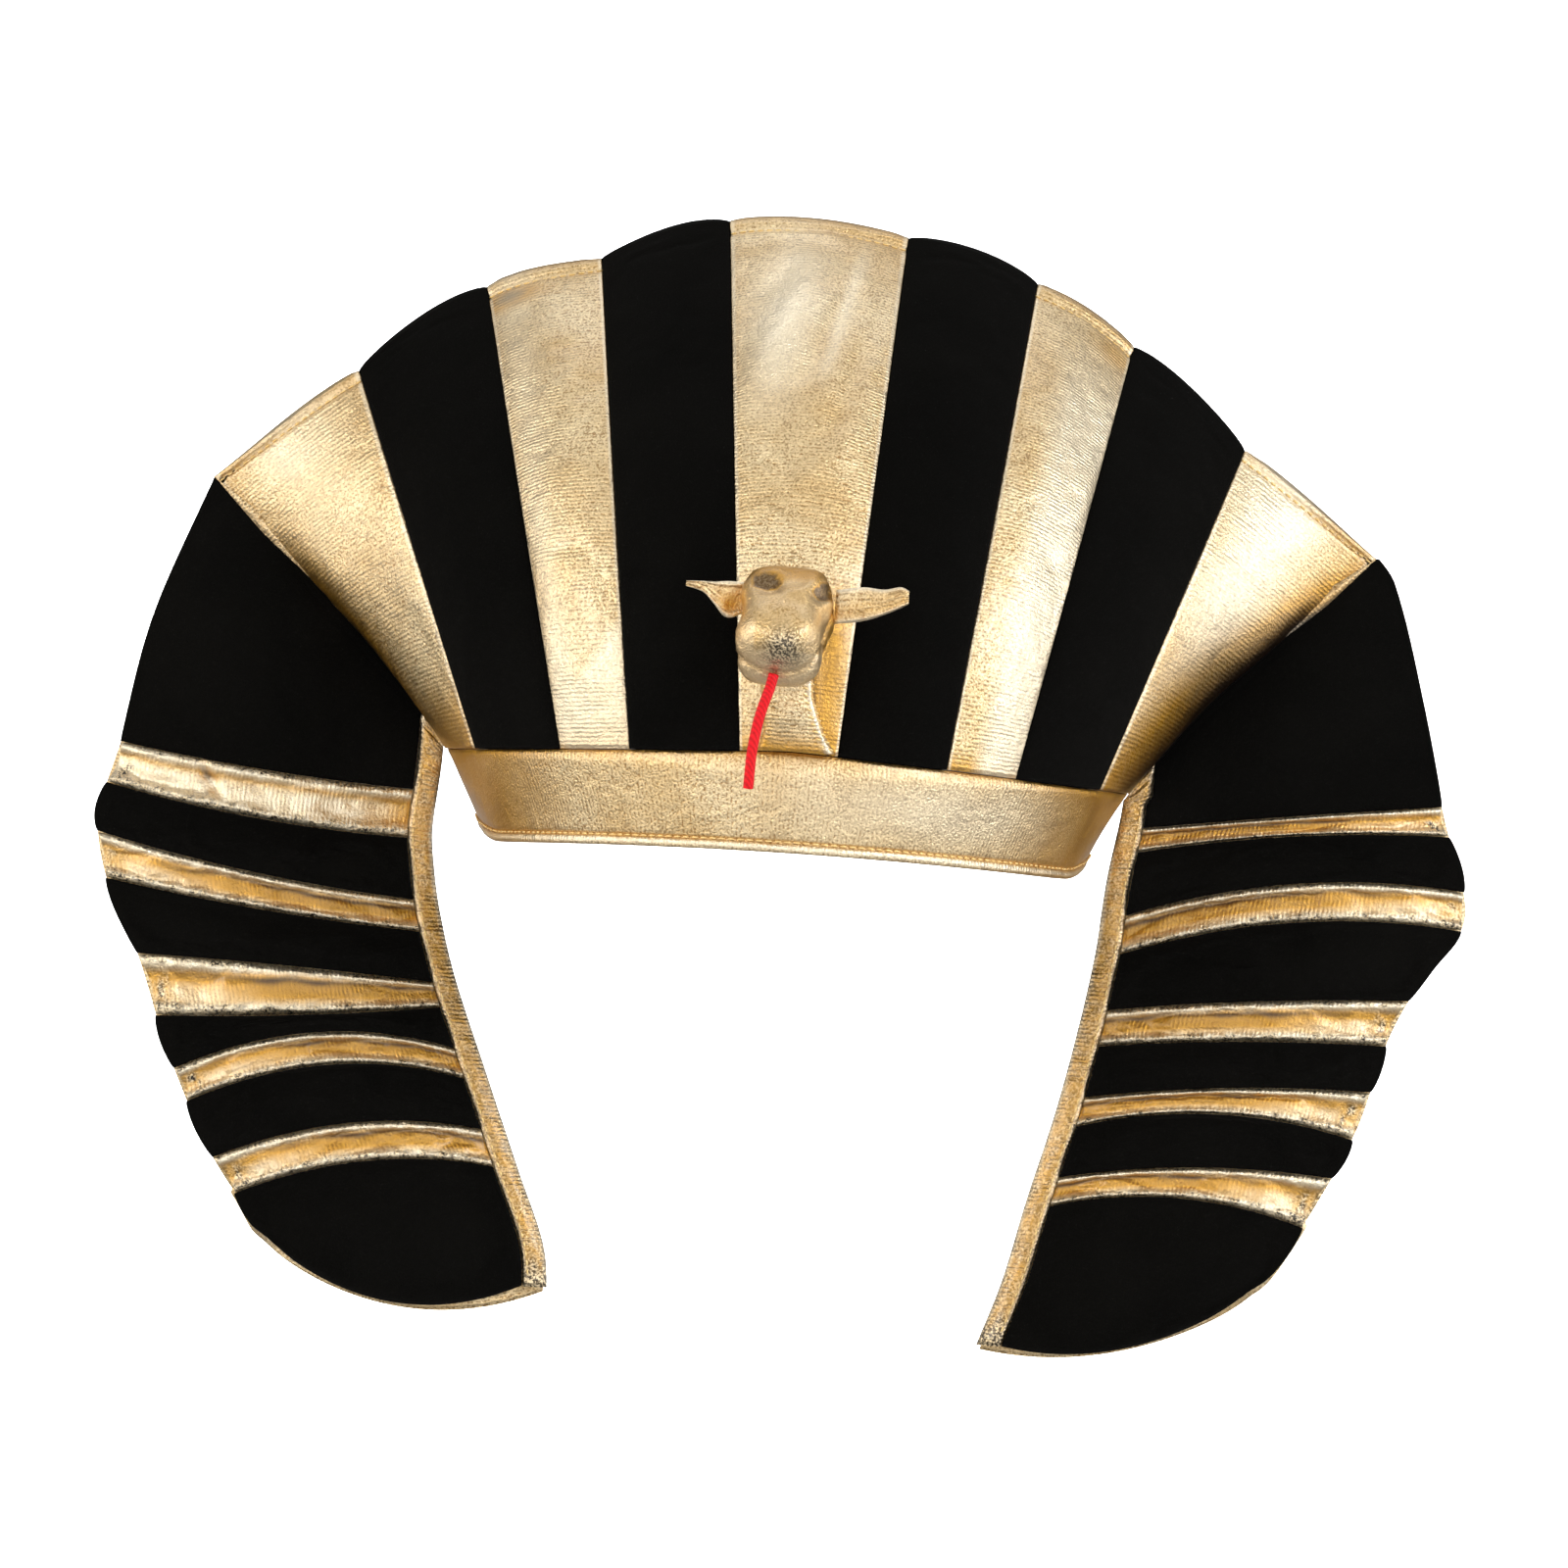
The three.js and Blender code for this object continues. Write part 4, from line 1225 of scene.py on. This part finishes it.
# Cobra head: a stuffed bag of the same foil knit, sewn to the front of the neck strip. The
# eyes are pinched in with a stitch, the nose is rubbed dark and a seam runs round the mouth.
head_width = 0.026
head_length_cobra = 0.034
head_depth = 0.025
head_rise = 0.036
head_aside = -0.004
head_rows = [(1, 0.94), (0.6, 0.98), (0.1, 0.9), (-0.4, 1.04), (-1, 1)]
head_forward = Vector((-0.13, -0.74, -0.66)).normalized()
head_across = Vector((0, 0, 1)).cross(head_forward).normalized() * -1
head_up = head_forward.cross(head_across) * -1
head_half = Vector((head_width / 2, head_length_cobra / 2, head_depth / 2))
head_reach = hypot(head_half.y * head_forward.y, head_half.z * head_up.y)
head_middle = Vector((
    head_aside,
    neck_back - neck_thickness - neck_lean * 0.8 - head_reach - clearance,
    band_height + head_rise,
))
# Places on the head in the front view: x, z and the half sizes of each mark
eye_marks = [(-0.0095, 0.0772, 0.0046, 0.0026), (0.0069, 0.0752, 0.0032, 0.0026)]
nose_mark = (-0.0036, 0.0588, 0.0062, 0.0056)
between_eyes = (-0.0012, 0.0795, 0.0042, 0.003)
mouth_middle = (-0.0045, 0.0512)
head_block = 3.7


def mark_share(spot, mark):
    """1 in the middle of a mark on the front of the head, falling to 0 outside it."""
    if spot.y > head_middle.y + 0.004:
        return 0
    x, z, half_x, half_z = mark
    away = ((spot.x - x) / half_x) ** 2 + ((spot.z - z) / half_z) ** 2
    return exp(-away ** 1.6)


def mouth_share(spot):
    """How near a point is to the seam that runs under the muzzle and up the right cheek."""
    bow = mouth_middle[1] + 28 * (spot.x - mouth_middle[0]) ** 2
    if spot.x > 0.003:
        bow += 260 * (spot.x - 0.003) ** 2
    return exp(-((spot.z - bow) / 0.0009) ** 2) if spot.y < head_middle.y + 0.006 else 0


def head_point(direction):
    block = sum(abs(part) ** head_block for part in direction) ** (-1 / head_block)
    shaped = direction * block
    wide = read_rows(head_rows, 1, shaped.y)
    spot = head_middle + head_forward * shaped.y * head_half.y
    spot += head_across * shaped.x * head_half.x * wide + head_up * shaped.z * head_half.z
    inward = (head_middle - spot).normalized()
    sunk = sum(0.0024 * mark_share(spot, eye) for eye in eye_marks)
    sunk += 0.0009 * mouth_share(spot) - 0.0008 * mark_share(spot, nose_mark)
    sunk += 0.0014 * mark_share(spot, between_eyes)
    sunk += 0.0011 * exp(-((spot.z - 0.067) / 0.0035) ** 2) * max(0, -(spot.x + 0.012)) / 0.005
    sunk += 0.0006 * noise.noise(spot * 120) + 0.0002 * noise.noise(spot * 420)
    return spot + inward * sunk


head_rings = 56
head_segments = 80
head_directions = [Vector((0, 1, 0))]
for ring in range(1, head_rings):
    polar = pi * ring / head_rings
    for segment in range(head_segments):
        angle = 2 * pi * segment / head_segments
        head_directions.append(Vector((sin(polar) * cos(angle), cos(polar), sin(polar) * sin(angle))))
head_directions.append(Vector((0, -1, 0)))
head_faces = []
for segment in range(head_segments):
    beside = (segment + 1) % head_segments
    head_faces.append((0, 1 + segment, 1 + beside))
    last_ring = 1 + (head_rings - 2) * head_segments
    head_faces.append((len(head_directions) - 1, last_ring + beside, last_ring + segment))
    for ring in range(head_rings - 2):
        low = 1 + ring * head_segments
        high = low + head_segments
        head_faces.append((low + segment, high + segment, high + beside, low + beside))
cobra_head = new_piece("cobra_head_bag", [head_point(way) for way in head_directions], head_faces, gold)
head_chart = cobra_head.data.uv_layers.new(name="cloth")
for loop in cobra_head.data.loops:
    way = head_directions[loop.vertex_index]
    head_chart.data[loop.index].uv = (way.x * head_half.x, 0)
head_worn = []
head_painted_shade = []
head_highlights = []
for vertex in cobra_head.data.vertices:
    spot = vertex.co
    eyes = sum(mark_share(spot, eye) for eye in eye_marks)
    head_worn.append(min(1, 0.97 * mark_share(spot, nose_mark) + 0.2 * eyes + 0.2 * mouth_share(spot)))
    # Painted shade: amber over the whole head at 0.3 and more on its top, back, left side and mouth
    # seam, brown in the eye dents
    at_crown = max(0, min(1, (spot.z - 0.0765) / 0.003))
    at_back = max(0, min(1, (spot.y - head_middle.y + 0.004) / 0.006))
    at_left = max(0, min(1, (-0.0125 - spot.x) / 0.004)) * max(0, min(1, (spot.z - 0.058) / 0.004))
    shaded = max(1.1 * at_crown, at_back, 1.1 * at_left, 0.9 * mouth_share(spot), 0.3)
    head_painted_shade.append(max(shaded, 1.85 * ramp(eyes, 0.4, 0.5)))
    # Painted highlight on the lower and left rim of the muzzle
    muzzle = ramp(spot.z, 0.058, 0.0545) + ramp(spot.x, -0.0118, -0.0138) * ramp(spot.z, 0.067, 0.06)
    head_highlights.append(min(0.25, muzzle) * ramp(spot.y, head_middle.y + 0.002, head_middle.y - 0.003))
set_attribute(cobra_head, "wear_and_shade", head_worn)
set_attribute(cobra_head, "painted_shade", head_painted_shade)
set_attribute(cobra_head, "pale", head_highlights)
dress(cobra_head, "cobra_head")

# Cobra ears: two flat stuffed points of gold foil knit, seamed round their edge. Each is sewn
# by its root to a side of the head, the left one cupped and the right one nearly flat.
ear_thickness = 0.003
# Outlines in the front view from the root to the tip: x, z of the middle, half height
ear_outlines = {
    "left": [(-0.0155, 0.0723, 0.0045), (-0.0205, 0.0716, 0.0052), (-0.0245, 0.0734, 0.003),
             (-0.0275, 0.0748, 0.0016), (-0.0325, 0.0754, 0.0008)],
    "right": [(0.0105, 0.0714, 0.0049), (0.0185, 0.0727, 0.0049), (0.0243, 0.0736, 0.0037),
              (0.0292, 0.0753, 0.003), (0.0314, 0.0755, 0.0019)],
}
ear_depth = head_middle.y + head_half.y / 4


def ear_point(name, across, along, front):
    rows = [Vector(row) for row in ear_outlines[name]]
    x, middle, half = through_points(rows, across)
    z = middle + half * (2 * along - 1)
    edge = 4 * along * (1 - along)
    lip = exp(-((edge - 0.3) / 0.25) ** 2) * 0.0006
    cup = -0.0012 * edge * (1 - across) if name == "left" else 0.0004 * edge
    proud = ear_thickness / 2 * (0.3 + 0.7 * edge ** 0.5) + lip + cup
    ripple = 0.0006 * noise.noise(Vector((across * 5, len(name), along * 4)))
    root = 0.0015 * (1 - across) ** 3
    y = ear_depth + root - (proud + ripple if front else -ear_thickness / 2 * (0.3 + 0.7 * edge ** 0.5))
    return Vector((x, y, z))


# Painted shade: amber in the cup of the left ear and a faint amber band along the right one
def ear_painted_shade(name, across, along):
    if name == "left":
        return 0.95 * exp(-((across - 0.2) / 0.22) ** 2) * exp(-((along - 0.42) / 0.3) ** 2)
    return 0.35 * exp(-((along - 0.3) / 0.25) ** 2)


# Each ear takes its painted shade and a painted highlight along its rim
for name in ("left", "right"):
    ear = sewn_sheet(
        f"cobra_ear_{name}_bag", even_shares(28), even_shares(20),
        partial(ear_point, name), gold, partial(ear_painted_shade, name),
        lambda across, along: 0.8 * exp(-(min(along, 1 - along) / 0.1) ** 2),
    )
    dress(ear, f"cobra_ear_{name}")

# Floor and light: a plain pale sweep that curves up far behind, with its own lamp. Large soft
# boxes stand in front, at both sides and above.
floor_height = -0.32
sweep_depth = 13.0
sweep_radius = 4.0
sweep_half_width = 12.0
sweep_front = -12.0
sweep_top = 9.0
sweep_steps = 24


def plain_pale():
    material, _, shader = new_material("pale_sweep")
    shader.inputs["Base Color"].default_value = (0.93, 0.93, 0.93, 1)
    shader.inputs["Roughness"].default_value = 0.9
    return material


sweep_line = [(sweep_front, floor_height)]
for step in range(sweep_steps + 1):
    angle = radians(90 * step / sweep_steps)
    sweep_line.append((
        sweep_depth - sweep_radius + sweep_radius * sin(angle),
        floor_height + sweep_radius - sweep_radius * cos(angle),
    ))
sweep_line.append((sweep_depth, sweep_top))
sweep_points = []
for y, z in sweep_line:
    sweep_points += [Vector((-sweep_half_width, y, z)), Vector((sweep_half_width, y, z))]
sweep_faces = [
    (2 * step, 2 * step + 1, 2 * step + 3, 2 * step + 2) for step in range(len(sweep_line) - 1)
]
pale = plain_pale()
pale_floor = new_piece("pale_floor", sweep_points[:4], sweep_faces[:1], pale)
pale_wall = new_piece("pale_wall", sweep_points, sweep_faces[1:], pale)
pale_floor.visible_glossy = False
pale_wall.visible_glossy = False


def soft_box(name, place, aim, width, height, power, colour):
    light = bpy.data.lights.new(name, "AREA")
    light.shape = "RECTANGLE"
    light.size = width
    light.size_y = height
    light.energy = power
    light.color = colour
    lamp = bpy.data.objects.new(name, light)
    lamp.location = place
    lamp.rotation_euler = (Vector(aim) - Vector(place)).to_track_quat("-Z", "Y").to_euler()
    lamp.visible_camera = False
    scene.collection.objects.link(lamp)
    return lamp


soft_box("key_box", (1.5, -1.4, 1.1), (0, 0, 0.03), 0.8, 0.8, 22, (1, 1, 1))
soft_box("warm_box", (-1.6, -1.5, 0.8), (0, 0, 0.03), 0.8, 0.8, 16, (1, 0.95, 0.86))
soft_box("front_box", (0, -2.4, -0.35), (0, 0, 0), 2.6, 2.4, 23, (1, 0.985, 0.96))
soft_box("left_box", (-2.2, -0.3, 0.1), (0, 0, 0), 1.8, 1.6, 18, (1, 0.94, 0.84))
soft_box("right_box", (2.2, -0.3, 0.1), (0, 0, 0), 1.8, 1.6, 20, (1, 0.99, 0.97))
soft_box("top_box", (0, 0.3, 1.6), (0, 0, 0.03), 1.4, 0.5, 5, (1, 0.98, 0.94))
wall_box = soft_box("wall_box", (0, 5, 5), (0, 9, 0), 6.0, 3.0, 2600, (1, 1, 1))
backdrop = bpy.data.collections.new("backdrop")
backdrop.objects.link(pale_floor)
backdrop.objects.link(pale_wall)
wall_box.light_linking.receiver_collection = backdrop

world = bpy.data.worlds.new("studio")
world.use_nodes = True
sky = world.node_tree.nodes["Background"]
sky.inputs["Color"].default_value = (1, 0.975, 0.94, 1)
sky.inputs["Strength"].default_value = 0.42
scene.world = world
scene.view_settings.view_transform = "Standard"
